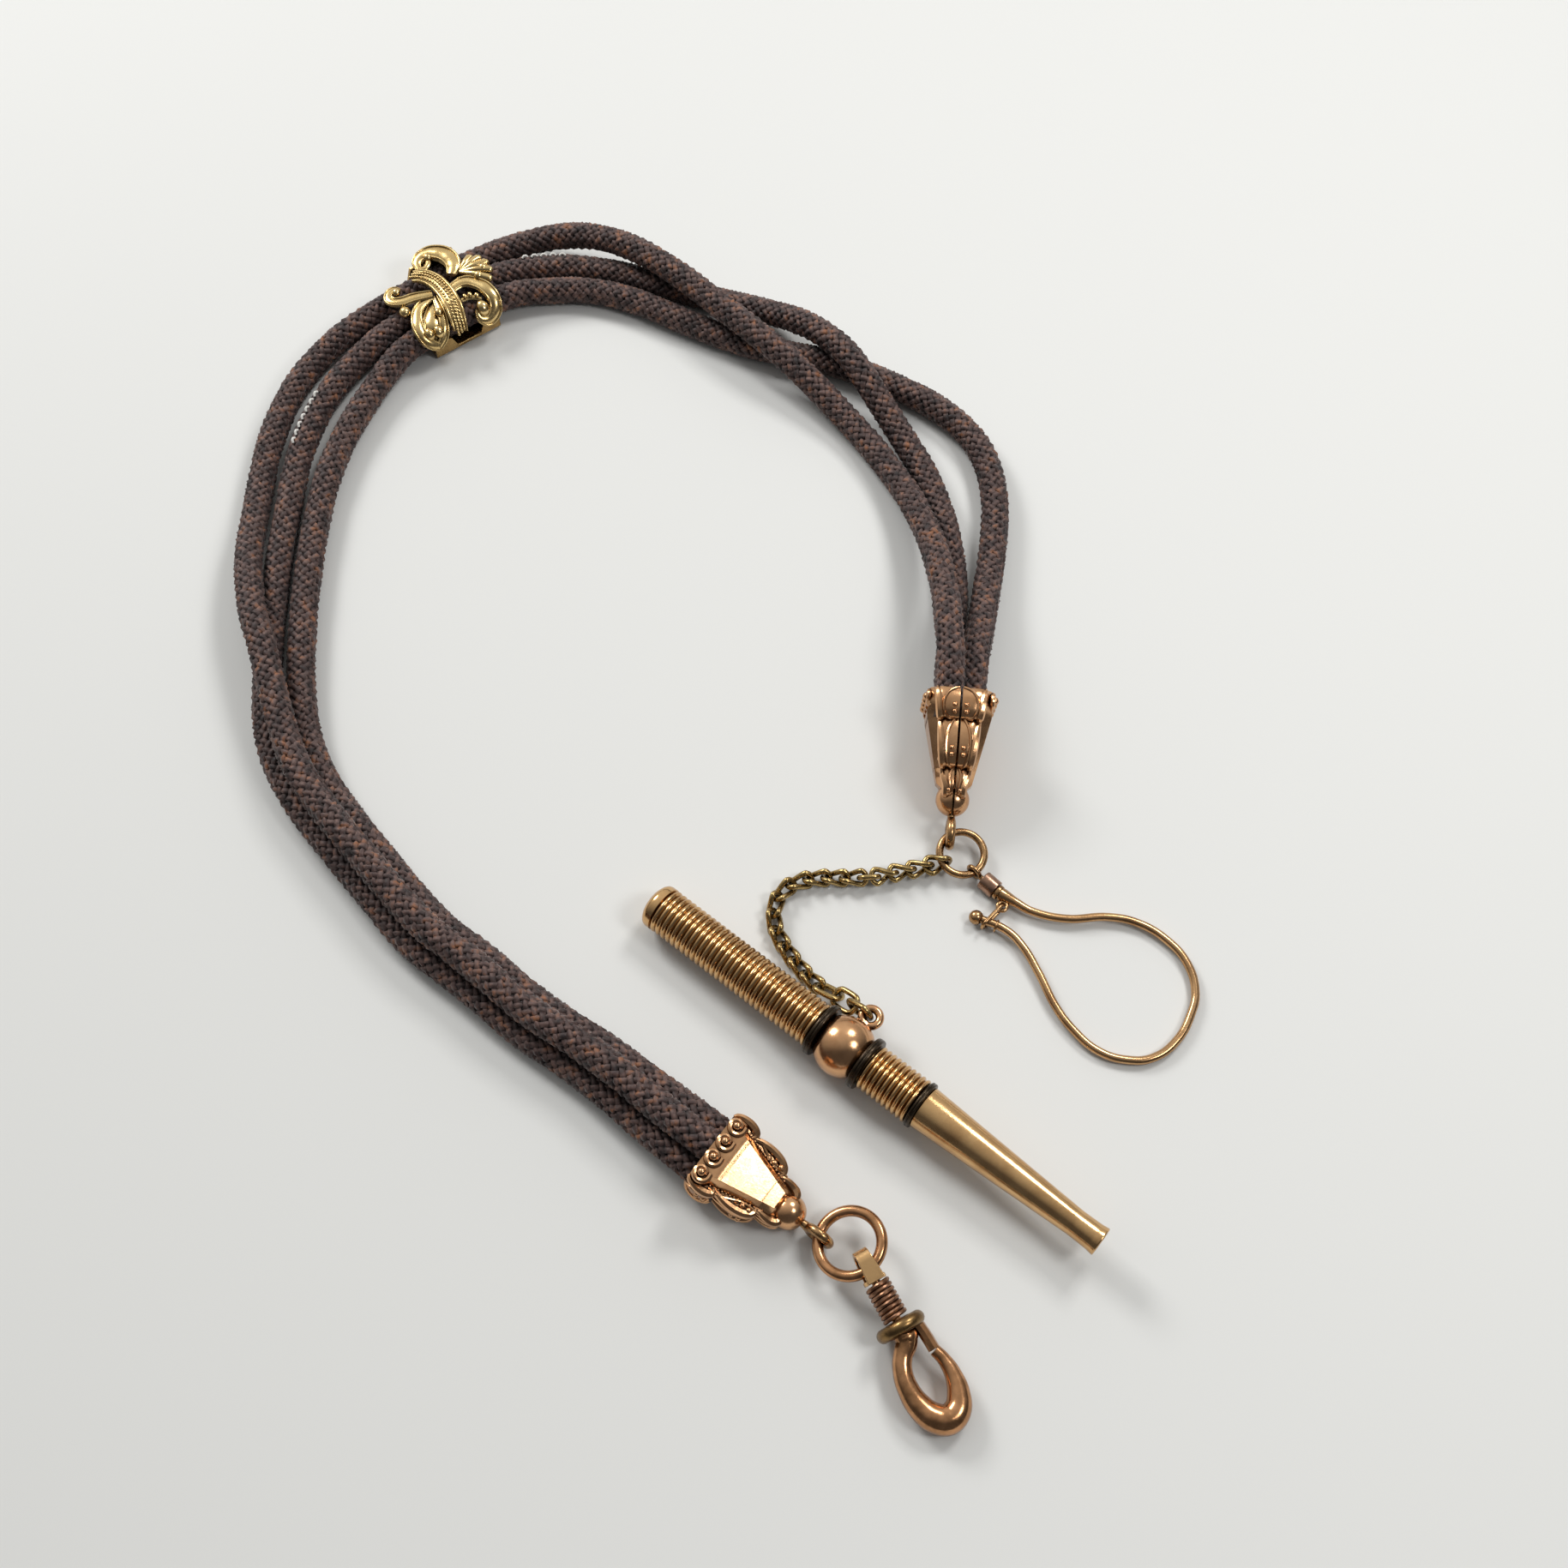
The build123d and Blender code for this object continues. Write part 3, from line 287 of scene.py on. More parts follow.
bleach = add_node(tree, "ShaderNodeMixRGB", {0: twist.outputs["Fac"], 1: linear("#bdb9b2"), 2: linear("#f4f2ec")})
tree.links.new(bleach.outputs[0], tree.nodes["Principled BSDF"].inputs["Base Color"])
tree.nodes["Principled BSDF"].inputs["Roughness"].default_value = 0.6
frames = even_frames(cord_line(cord_routes["middle"]), sample_step * mm)
stitches = bpy.data.curves.new("stitches", "CURVE")
stitches.dimensions = "3D"
stitches.bevel_depth = stitch_width / 2 * mm
stitches.bevel_resolution = 1
stitches.use_fill_caps = True
for start, end in stitch_runs:
    for count in range(int((end - start) / stitch_space)):
        first = int((start + count * stitch_space) / sample_step)
        dash = stitches.splines.new("POLY")
        dash.points.add(3)
        for at in range(4):
            middle, side, over = frames[first + at]
            outer = Vector((0, 0, 1)).cross(side.cross(over)).normalized()
            if outer.dot(middle - inside_bend) < 0:
                outer = -outer
            upper = side.cross(over).cross(outer)
            upper = upper if upper.z > 0 else -upper
            rise = (2.0 + (0.15 if at in (1, 2) else -0.15)) * mm
            lean = radians(stitch_lean)
            dash.points[at].co = (*(middle + upper * rise * cos(lean) + outer * rise * sin(lean)), 1)
holder = bpy.data.objects.new("stitches", stitches)
mesh = bpy.data.meshes.new_from_object(holder)
bpy.data.objects.remove(holder)
mesh.materials.clear()
mesh.materials.append(white_thread)
mesh.shade_smooth()
sewn = bpy.data.objects.new("cord_white_stitches", mesh)
scene.collection.objects.link(sewn)
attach(sewn, "strap")


# Cord end caps. Each is two stamped shells of rose gold over brass, with a polished panel, scroll
# lobes and beading, closed round the cords' ends and on a ball at the narrow end.

rest = (3.84, -3.32, 0)


def aim(point, heading, tip=0, roll=0):
    """A frame in millimetres: x along the heading, tipped up from the table, rolled about itself."""
    turn = Matrix.Rotation(radians(heading), 4, "Z") @ Matrix.Rotation(radians(-tip), 4, "Y")
    return Matrix.Translation(Vector(point)) @ turn @ Matrix.Rotation(radians(roll), 4, "X")


def spot(home, along=0, across=0, up=0, turn=0, roll=0):
    """A frame set out from another in its own directions, then turned and rolled."""
    shift = Matrix.Translation((along, across, up))
    return home @ shift @ Matrix.Rotation(radians(turn), 4, "Z") @ Matrix.Rotation(radians(roll), 4, "X")


def bench(point):
    """A point given from the middle of the view, as one given from the middle of the part."""
    return Vector(point) + Vector(rest)


def gilt(name, bright, dull, hollow_shade_colour, roughness=0.25, patch=2.0, wear=0.5, hollow_shade_strength=0.5):
    """A worn gold finish: bright where rubbed, duller in patches, with painted shade darkening its hollows."""
    made = bpy.data.materials.new(name)
    made.use_nodes = True
    tree = made.node_tree
    shader = tree.nodes["Principled BSDF"]
    place = add_node(tree, "ShaderNodeTexCoord").outputs["Object"]
    cloud = add_node(tree, "ShaderNodeTexNoise", {"Vector": place, "Scale": 1 / (patch * mm), "Detail": 4.0,
                                                  "Roughness": 0.6})
    scuff = add_node(tree, "ShaderNodeTexNoise", {"Vector": place, "Scale": 1 / (0.25 * mm), "Detail": 3.0})
    spread = add_node(tree, "ShaderNodeMapRange", {0: cloud.outputs["Fac"], 1: 0.38, 2: 0.68, 3: 0.0, 4: wear})
    rubbed = add_node(tree, "ShaderNodeMixRGB", {0: spread.outputs[0], 1: linear(bright), 2: linear(dull)})
    # Painted shade: ambient occlusion darkens the hollows towards the given dark colour, by the given strength
    hollow = add_node(tree, "ShaderNodeAmbientOcclusion", {"Distance": 0.9 * mm}, samples=6)
    painted_shade_mask = add_node(tree, "ShaderNodeMapRange", {0: hollow.outputs["AO"], 1: 0.75, 2: 0.2, 3: 0.0, 4: hollow_shade_strength})
    wear_and_painted_shade = add_node(tree, "ShaderNodeMixRGB", {0: painted_shade_mask.outputs[0], 1: rubbed.outputs[0], 2: linear(hollow_shade_colour)})
    tree.links.new(wear_and_painted_shade.outputs[0], shader.inputs["Base Color"])
    gloss = add_node(tree, "ShaderNodeMapRange", {0: scuff.outputs["Fac"], 1: 0.3, 2: 0.7,
                                                  3: roughness * 0.8, 4: roughness * 1.3})
    tree.links.new(gloss.outputs[0], shader.inputs["Roughness"])
    dents = add_node(tree, "ShaderNodeBump", {"Strength": 0.25, "Distance": 0.02 * mm,
                                              "Height": scuff.outputs["Fac"]})
    tree.links.new(dents.outputs[0], shader.inputs["Normal"])
    shader.inputs["Metallic"].default_value = 1
    return made


def joined(*parts):
    """One bmesh of several, each given with the frame that it is placed by."""
    whole = bmesh.new()
    for part, home in parts:
        part.transform(home)
        holder = bpy.data.meshes.new("part")
        part.to_mesh(holder)
        part.free()
        whole.from_mesh(holder)
        bpy.data.meshes.remove(holder)
    return whole


def piece(name, bm, home, material, body, slot, *stood_for, sharp=40):
    """Makes an object of a bmesh in millimetres, placed in its mesh, hangs it on its body and hides the CAD parts that
    it stands for.
    """
    bm.transform(Matrix.Scale(mm, 4) @ home)
    bmesh.ops.recalc_face_normals(bm, faces=bm.faces)
    mesh = bpy.data.meshes.new(name)
    bm.to_mesh(mesh)
    bm.free()
    mesh.materials.append(material)
    mesh.shade_smooth()
    mesh.set_sharp_from_angle(angle=radians(sharp))
    made = bpy.data.objects.new(name, mesh)
    scene.collection.objects.link(made)
    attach(made, body)
    if stood_for:
        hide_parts(*stood_for)
    return made


def wire(points, thickness, shares=None, closed=False, smooth=6, sides=2):
    """Round wire bent through points, thicker or thinner by the shares, as a bmesh."""
    curve = bpy.data.curves.new("wire", "CURVE")
    curve.dimensions = "3D"
    curve.bevel_depth = thickness / 2
    curve.bevel_resolution = sides
    curve.use_fill_caps = not closed
    bend = curve.splines.new("BEZIER")
    bend.bezier_points.add(len(points) - 1)
    bend.resolution_u = smooth
    bend.use_cyclic_u = closed
    for knot, point, share in zip(bend.bezier_points, points, shares or [1] * len(points)):
        knot.co = point
        knot.handle_left_type = knot.handle_right_type = "AUTO"
        knot.radius = share
    holder = bpy.data.objects.new("wire", curve)
    mesh = bpy.data.meshes.new_from_object(holder)
    bm = bmesh.new()
    bm.from_mesh(mesh)
    bpy.data.objects.remove(holder)
    bpy.data.meshes.remove(mesh)
    bmesh.ops.remove_doubles(bm, verts=bm.verts, dist=thickness / 500)
    return bm


def ball(radius, flat=1, rounds=16):
    """A ball, flattened upright by a share."""
    bm = bmesh.new()
    bmesh.ops.create_uvsphere(bm, u_segments=rounds * 2, v_segments=rounds, radius=radius)
    bmesh.ops.scale(bm, vec=(1, 1, flat), verts=bm.verts)
    return bm


def bead(radius):
    """A small bead of few faces, for rows of beading."""
    bm = bmesh.new()
    bmesh.ops.create_icosphere(bm, subdivisions=2, radius=radius)
    return bm


def arc(start, middle, end, steps):
    """Points of the arc through three flat points."""
    (ax, ay), (bx, by), (cx, cy) = start, middle, end
    d = 2 * (ax * (by - cy) + bx * (cy - ay) + cx * (ay - by))
    ux = ((ax**2 + ay**2) * (by - cy) + (bx**2 + by**2) * (cy - ay) + (cx**2 + cy**2) * (ay - by)) / d
    uy = ((ax**2 + ay**2) * (cx - bx) + (bx**2 + by**2) * (ax - cx) + (cx**2 + cy**2) * (bx - ax)) / d
    radius = ((ax - ux) ** 2 + (ay - uy) ** 2) ** 0.5
    first, mid, last = (atan2(y - uy, x - ux) for x, y in (start, middle, end))
    sweep = (last - first) % (2 * pi)
    if (mid - first) % (2 * pi) > sweep:
        sweep -= 2 * pi
    turns = [first + sweep * step / steps for step in range(steps + 1)]
    return [(ux + radius * cos(turn), uy + radius * sin(turn)) for turn in turns]


def along_table(table, x):
    """The value of a table of (place, value) shares at a place."""
    for (x0, v0), (x1, v1) in zip(table, table[1:]):
        if x <= x1:
            return v0 + (v1 - v0) * max(0, (x - x0) / (x1 - x0))
    return table[-1][1]


lobe_shares = (
    ((-1.0, 0.90), (-0.88, 1.02), (-0.74, 0.78)),
    ((-0.74, 0.78), (-0.50, 0.88), (-0.28, 0.52)),
    ((-0.28, 0.52), (-0.18, 0.56), (-0.09, 0.28)),
)
rim_rise = ((-1.0, 0.72), (-0.80, 0.62), (-0.20, 0.38), (-0.09, 0.24))
panel_half = ((-1.0, 0.78), (-0.83, 0.74), (-0.79, 0.58), (-0.12, 0.20), (-0.09, 0.17))
panel_rise = ((-1.0, 0.93), (-0.80, 0.93), (-0.79, 1.0), (-0.14, 0.54), (-0.09, 0.36))
wall_lean = 0.9
cap_seam = 0.3

rose_gold = gilt("polished_rose_gold", "#d8a87c", "#ad7c55", "#24160e", roughness=0.2, wear=0.55, hollow_shade_strength=0.95)


def cap_shell(length, half_width, half_depth, ball_radius):
    """One stamped shell: skin with its panel, rolled lobes, beading, mouth scrolls and half ball."""
    outline = [lobe_shares[0][0]] + [point for lobe in lobe_shares for point in arc(*lobe, 10)[1:]]
    rows, columns = len(outline), 17

    def levels(x, w):
        rim = along_table(rim_rise, x) * half_depth
        edge = w * half_width
        flat = min(along_table(panel_half, x) * half_width, edge - wall_lean - 0.35)
        return edge, rim, max(flat, 0.3), along_table(panel_rise, x) * half_depth

    skin = bmesh.new()
    bmesh.ops.create_grid(skin, x_segments=rows - 1, y_segments=columns - 1, size=1)
    for vertex in skin.verts:
        x, w = outline[round((vertex.co.x + 1) / 2 * (rows - 1))]
        column = round((vertex.co.y + 1) / 2 * (columns - 1))
        edge, rim, flat, rise = levels(x, w)
        half = ((0, rise), (flat * 0.6, rise), (flat, rise), (flat + 0.05, rise - 0.05),
                (flat + wall_lean, rim + 0.05), (edge - 0.3, rim), (edge - 0.06, rim * 0.82),
                (edge, rim * 0.5), (edge - 0.1, cap_seam / 2))
        across, up = half[abs(column - 8)]
        vertex.co = (x * length, across * (1 if column > 8 else -1), max(up, cap_seam / 2))
    knob = ball(ball_radius)
    bmesh.ops.bisect_plane(knob, geom=knob.verts[:] + knob.edges[:] + knob.faces[:], plane_co=(0, 0, cap_seam / 2),
                           plane_no=(0, 0, 1), clear_inner=True)
    parts = [(skin, Matrix()), (knob, Matrix())]
    for side in (1, -1):
        for order, lobe in enumerate(lobe_shares):
            edge = arc(*lobe, 8)
            curl = [(x * length, side * (w * half_width - 0.38), levels(x, w)[1] + 0.02) for x, w in edge]
            thick = [0.5 + 0.85 * sin(pi * at / 8) for at in range(9)]
            parts.append((wire(curl, 0.85, thick, smooth=3), Matrix()))
            arch = [(x * length, side * (w * half_width - 0.04), 0.3 + (levels(x, w)[1] - 0.75) * sin(pi * at / 8))
                    for at, (x, w) in enumerate(edge)]
            parts.append((wire(arch, 0.42, smooth=3), Matrix()))
            x, w = edge[4]
            for step in ((0,) if order == 2 else (-0.45, 0.45)):
                parts.append((bead(0.34), Matrix.Translation(
                    (x * length + step, side * (w * half_width - 0.05), 0.75))))
            if order == 1:
                for step in (-0.9, 0, 0.9):
                    parts.append((bead(0.4), Matrix.Translation(
                        (x * length + step, side * (w * half_width - 1.2), levels(x, w)[1] + 0.12))))
        ridge, beading = [], int(0.62 * length / 0.5)
        for at in range(beading):
            x = -0.77 + at * 0.5 / length
            foot = along_table(panel_half, x) * half_width + wall_lean
            level = along_table(rim_rise, x) * half_depth
            ridge.append((x * length, side * (foot + 0.34 + 0.26 * sin(at * 0.55)), level + 0.16))
            parts.append((bead(0.16), Matrix.Translation((x * length, side * (foot - 0.02), level + 0.2))))
        parts.append((wire(ridge, 0.36, smooth=2), Matrix()))
    for at in range(4):
        across = (at - 1.5) * 0.44 * half_width
        spiral = [(-0.915 * length + r * cos(t), across + r * sin(t), 0.98 * half_depth - 0.14 * r)
                  for r, t in ((0.4 + 0.08 * k, 0.75 * k) for k in range(10))]
        parts.append((wire(spiral, 0.7, smooth=3), Matrix()))
        parts.append((bead(0.55), Matrix.Translation((-0.915 * length, across, 1.02 * half_depth))))
    return joined(*parts)


caps = {
    "left": ((0.51, -57.1, 2.75), -37.0, -8.5, 0, 11.7, 5.1, 4.0, 2.15, 1.45, 4.5),
    "right": ((21.85, -4.09, 3.5), -95.0, -14.5, -90, 13.9, 5.3, 4.3, 2.2, 1.6, 4.4),
}
pin_thickness = 1.0
eye_wire = 1.2
worn_gold = gilt("worn_old_gold", "#bf976a", "#806040", "#20160e", roughness=0.24, patch=1.2, wear=0.8, hollow_shade_strength=0.9)


def turned(points, steps=56):
    """A shape turned about x from a half profile of (along, radius) points."""
    bm = bmesh.new()
    corners = [bm.verts.new((along, 0, radius)) for along, radius in points]
    edges = [bm.edges.new(pair) for pair in zip(corners, corners[1:])]
    bmesh.ops.spin(bm, geom=corners + edges, cent=(0, 0, 0), axis=(1, 0, 0), angle=2 * pi, steps=steps,
                   use_merge=True)
    bmesh.ops.remove_doubles(bm, verts=bm.verts, dist=0.002)
    return bm


def softened(points, cut, steps=3):
    """A profile with its inner corners rounded off."""
    out = [Vector(points[0])]
    for before, corner, after in zip(points, points[1:], points[2:]):
        before, corner, after = Vector(before), Vector(corner), Vector(after)
        a = corner + (before - corner).normalized() * min(cut, (before - corner).length * 0.45)
        b = corner + (after - corner).normalized() * min(cut, (after - corner).length * 0.45)
        for step in range(steps + 1):
            t = step / steps
            out.append(a * (1 - t) ** 2 + corner * 2 * t * (1 - t) + b * t**2)
    return [*out, Vector(points[-1])]


def ring(radius, thickness, steps=56, sides=14):
    """A closed ring of round wire, flat on its frame."""
    bm = bmesh.new()
    made = bmesh.ops.create_circle(bm, segments=sides, radius=thickness / 2)
    bmesh.ops.rotate(bm, verts=made["verts"], matrix=Matrix.Rotation(pi / 2, 3, "X"))
    bmesh.ops.translate(bm, verts=made["verts"], vec=(radius, 0, 0))
    bmesh.ops.spin(bm, geom=bm.verts[:] + bm.edges[:], cent=(0, 0, 0), axis=(0, 0, 1), angle=2 * pi, steps=steps,
                   use_merge=True)
    bmesh.ops.remove_doubles(bm, verts=bm.verts, dist=0.002)
    return bm


for side, (point, heading, tip, roll, length, width, painted_shade_mask, knob, eye, reach) in caps.items():
    level = aim(bench(point), heading, tip)
    home = spot(level, roll=roll)
    for name, turn in (("front", 0), ("back", 180)):
        shell = piece(f"{side}_cap_{name}", cap_shell(length, width, painted_shade_mask, knob), spot(home, roll=turn),
                      rose_gold, "strap", "rose_gold", f"{side}_cap_{name}_shell", sharp=35)
    pin = turned(softened(((-0.8, 0), (-0.8, 0.9), (-0.1, 0.9), (-0.1, pin_thickness / 2),
                           (knob + 0.2, pin_thickness / 2), (reach - eye - 0.2, pin_thickness * 0.6),
                           (reach - eye + 0.1, 0)), 0.15))
    piece(f"{side}_cap_eye", joined((pin, Matrix()), (ring(eye, eye_wire), spot(Matrix(), reach, roll=90))), level,
          worn_gold, f"{side}_eye", "worn_gold", f"{side}_cap_eye_pin")

# Bindings: waxed thread wound round the three cords inside each mouth, dark and rough
thread = bpy.data.materials.new("waxed_thread")
thread.use_nodes = True
tree = thread.node_tree
winding = add_node(tree, "ShaderNodeTexNoise", {"Vector": add_node(tree, "ShaderNodeTexCoord").outputs["Object"],
                                                "Scale": 1 / (0.3 * mm), "Detail": 3.0})
thread_dye = add_node(tree, "ShaderNodeMixRGB", {0: winding.outputs["Fac"], 1: linear("#1d1513"),
                                                 2: linear("#4a3830")})
tree.links.new(thread_dye.outputs[0], tree.nodes["Principled BSDF"].inputs["Base Color"])
tree.links.new(add_node(tree, "ShaderNodeBump", {"Distance": 0.1 * mm, "Height": winding.outputs["Fac"]}).outputs[0],
               tree.nodes["Principled BSDF"].inputs["Normal"])
tree.nodes["Principled BSDF"].inputs["Roughness"].default_value = 0.7
for side in caps:
    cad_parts[f"{side}_cap_cord_binding"].data.materials.clear()
    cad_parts[f"{side}_cap_cord_binding"].data.materials.append(thread)


# Slider. A pale gold tray folded round the cords, with a sprung steel leaf that grips them and an
# openwork plate of cast scrolls, a milled ribbon, beads and a small fluted shell soldered on top.

pale_gold = gilt("polished_pale_gold", "#e2c68c", "#bf9c62", "#33230f", roughness=0.23, patch=2.5, wear=0.6,
                 hollow_shade_strength=0.9)
steel = gilt("spring_steel", "#8c8a86", "#6c675f", "#2a2622", roughness=0.35, wear=0.7)
slider_home = aim(bench((-51.14, 79.28, 3.3)), 35.0)
plate_base = 2.1
drape_from, drape_radius = -3.2, 4.2
scrolls = (
    (2.5, 0.75, (0.4, 0.65, 0.9, 1.15, 1.2, 1.0, 0.6),
     ((-1.0, 4.8), (-0.5, 6.2), (1.1, 6.8), (2.8, 6.0), (3.8, 4.3), (3.6, 2.4), (2.5, 1.2))),
    (0.9, 0.95, (0.9, 1.0, 1.0, 0.8), ((-1.0, 4.8), (-0.3, 4.4), (0.6, 4.8), (1.1, 5.7))),
    (1.7, 0.8, (0.8, 1.0, 1.0, 0.9, 0.75, 0.6, 0.45),
     ((-1.7, -0.5), (-4.4, 0.4), (-6.5, 0.9), (-7.5, 1.9), (-7.1, 3.1), (-6.0, 3.5), (-5.3, 2.8))),
    (1.8, 0.5, (0.6, 0.9, 1.0, 1.0, 0.9, 0.7),
     ((-1.8, -0.7), (-4.4, -1.4), (-6.0, -3.3), (-6.6, -5.4), (-6.0, -6.9), (-5.0, -7.7))),
    (1.5, 0.5, (0.6, 0.9, 1.0, 0.9, 0.7),
     ((-1.6, -0.9), (-2.2, -3.6), (-2.9, -5.5), (-3.9, -6.9), (-5.0, -7.7))),
    (3.2, 0.0, (0.4, 0.8, 1.0, 0.9, 0.5), ((-2.2, -1.4), (-3.4, -3.2), (-4.3, -4.9), (-4.8, -6.2), (-5.0, -7.3))),
    (1.9, 0.65, (0.8, 1.0, 1.05, 1.1, 1.05, 0.95, 0.8, 0.6, 0.45),
     ((1.1, -1.1), (3.3, -1.0), (4.8, -2.4), (5.6, -4.5), (5.5, -6.1), (4.5, -7.2), (3.2, -7.5), (2.4, -6.7), (2.7, -5.8))),
    (0.9, 0.3, (0.8, 1.0, 0.8), ((1.4, -3.5), (2.8, -3.7), (4.1, -4.7))),
)
ribbon = ((-2.6, 3.6), (-1.5, 2.9), (-0.5, 1.3), (-0.1, -1.0), (-0.3, -3.8), (-0.8, -5.5), (-1.3, -7.0))
studs = (
    (1.2, 5.9, 0.75), (-6.0, 2.7, 0.65), (-6.8, -1.3, 0.85), (-2.7, -3.9, 0.6), (-5.6, -5.8, 0.75), (-4.2, -6.0, 0.75),
    (3.4, -5.9, 0.95), (7.0, -0.5, 0.75), (5.7, -1.4, 0.75), (2.0, -3.6, 0.35), (2.8, -3.7, 0.35), (3.6, -4.2, 0.35),
)
fan_root, fan_ends = (3.8, 0.9), ((6.4, 2.4), (7.4, 1.6), (7.9, 0.3), (7.7, -1.2), (6.8, -2.6))


def cad_copy(node):
    """A CAD node's mesh as a merged bmesh in millimetres, its flat faces made whole."""
    bm = bmesh.new()
    bm.from_mesh(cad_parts[node].data)
    bmesh.ops.scale(bm, vec=(1 / mm, 1 / mm, 1 / mm), verts=bm.verts)
    bmesh.ops.remove_doubles(bm, verts=bm.verts, dist=0.002)
    bmesh.ops.dissolve_limit(bm, angle_limit=radians(2), verts=bm.verts, edges=bm.edges)
    return bm


def soft_edges(made, width, segments=2):
    """Rounds a finished piece's edges."""
    bevel = made.modifiers.new("edges", "BEVEL")
    bevel.width, bevel.segments, bevel.limit_method, bevel.angle_limit = width * mm, segments, "ANGLE", radians(35)
    bevel.harden_normals = False
    return made


def draped(bm):
    """Bends the front of the plate's work down over the cords, so that it ends on the tray's wall."""
    for vertex in bm.verts:
        if vertex.co.y < drape_from:
            radius = drape_radius + vertex.co.z
            turn = (drape_from - vertex.co.y) / drape_radius
            vertex.co.y = drape_from - radius * sin(turn)
            vertex.co.z = radius * cos(turn) - drape_radius
    return bm


def scroll_band(points, width, rise, swell, ridges, thickness=0.34):
    """A raised scroll: a flattened band that swells along its length, with round ridges on it."""
    band = wire([(x, y, 0) for x, y in points], width, swell, smooth=6)
    bmesh.ops.scale(band, vec=(1, 1, 0.5), verts=band.verts)
    parts = [(band, Matrix.Translation((0, 0, rise)))]
    for ridge in ridges:
        line = []
        for at, (x, y) in enumerate(points):
            (x0, y0), (x1, y1) = points[max(at - 1, 0)], points[min(at + 1, len(points) - 1)]
            run = ((x1 - x0) ** 2 + (y1 - y0) ** 2) ** 0.5
            off = ridge * width / 2 * swell[at]
            line.append((x - (y1 - y0) / run * off, y + (x1 - x0) / run * off,
                         rise + 0.25 * width * swell[at] * (1 - ridge**2) ** 0.5))
        parts.append((wire(line, thickness, swell, smooth=6), Matrix()))
    return parts


work = []
for width, rise, swell, points in scrolls:
    work += scroll_band(points, width, rise, swell, (-0.78, 0.78) if width > 1 else ())
work += scroll_band(ribbon, 2.5, 1.2, (0.8, 0.95, 1, 1, 1, 0.95, 0.8), (-0.86, 0.86), 0.5)
milled = wire([(x, y, 0) for x, y in ribbon], 0.2, smooth=9, sides=0)
middle = sorted({(round(v.co.y, 2), round(v.co.x, 2)) for v in milled.verts if v.co.z > 0.05})[::2]
milled.free()
for y, x in middle:
    for off in (-0.5, 0.05, 0.6):
        work.append((bead(0.23), Matrix.Translation((x + off, y + off * 0.3, 1.82 - abs(off) * 0.2))))
for x, y, radius in studs:
    work.append((ball(radius, 0.9, 10), Matrix.Translation((x, y, 0.95))))
for x, y in fan_ends:
    root, tip = Vector((*fan_root, 0.7)), Vector((x, y, 0.75))
    work.append((wire([root, root.lerp(tip, 0.55) + Vector((0, 0, 0.25)), tip], 1.15, (0.55, 1.0, 1.15), smooth=4), Matrix()))
    work.append((ball(0.6, 0.8, 8), Matrix.Translation(tip)))
piece("slider_scrollwork", draped(joined(*work)), spot(slider_home, up=plate_base), pale_gold, "slider", "pale_gold",
      "slider_scroll_plate", sharp=60)

# Tray: folded plain strip; its front wall is cut low where the draped scrolls are soldered to it
tray = cad_copy("slider_tray")
tray.transform(slider_home.inverted())
wall_cut = -0.2
wall_gap = -2.3
for along in (-2.6, -1.8, 2.2, 3.0):
    bmesh.ops.bisect_plane(tray, geom=tray.verts[:] + tray.edges[:] + tray.faces[:], plane_co=(along, 0, 0),
                           plane_no=(1, 0, 0))
for vertex in tray.verts:
    if vertex.co.y < -5 and vertex.co.z > wall_cut:
        vertex.co.z = wall_gap if -2.0 < vertex.co.x < 2.4 else wall_cut
    elif vertex.co.y > 5 and vertex.co.z > wall_cut and vertex.co.x < -2.5:
        vertex.co.z = wall_cut
# Tray gold: a darker copy of the pale gold, its darkness painted shade beneath the scrollwork
painted_shade_gold = gilt("shaded_pale_gold", "#c4a26a", "#8a6b42", "#2a1d10", roughness=0.24, patch=2.0, wear=0.8)
soft_edges(piece("slider_folded_tray", tray, slider_home, painted_shade_gold, "slider", "pale_gold", "slider_tray"), 0.12)
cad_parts["slider_spring_leaf"].data.materials.clear()
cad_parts["slider_spring_leaf"].data.materials.append(steel)


# Clasp. A thick jump ring, a strap shackle bent over it, and a dog-clip hook on a swivel stem. A
# coil spring holds the disc collar and its gate against the hook's nose; all worn rolled gold.

left_eye = spot(aim(bench(caps["left"][0]), -37.0, -8.5), 4.5).translation
big_ring = spot(aim(left_eye, -16.2, 14.4), 3.825)
rose_wire = gilt("rubbed_rose_gold", "#c9956a", "#85603f", "#20130c", roughness=0.2, patch=2.0, wear=0.8)
piece("clasp_round_ring", ring(3.825, 1.36, steps=72), big_ring, rose_wire, "clasp_ring", "worn_gold", "clasp_ring")

shackle_turn = radians(-38.5)
clasp = aim(big_ring @ Vector((3.825 * cos(shackle_turn), 3.825 * sin(shackle_turn), 0)), -60.8, -6.4)


yellow_gold = gilt("rolled_yellow_gold", "#d9b07c", "#b08658", "#2a1c10", roughness=0.18, patch=3.0, wear=0.6)
strap = cad_copy("swivel_shackle")
strap.transform(clasp.inverted())
for vertex in strap.verts:
    if abs(vertex.co.y) < 0.9:
        vertex.co.y *= 1.15 + 0.3 * max(0, min(1, (vertex.co.x + 1.5) / 2.6))
shackle = piece("clasp_shackle_strap", strap, clasp, yellow_gold, "clasp_shackle", "worn_gold",
                "swivel_shackle")
soft_edges(shackle, 0.2, 3)
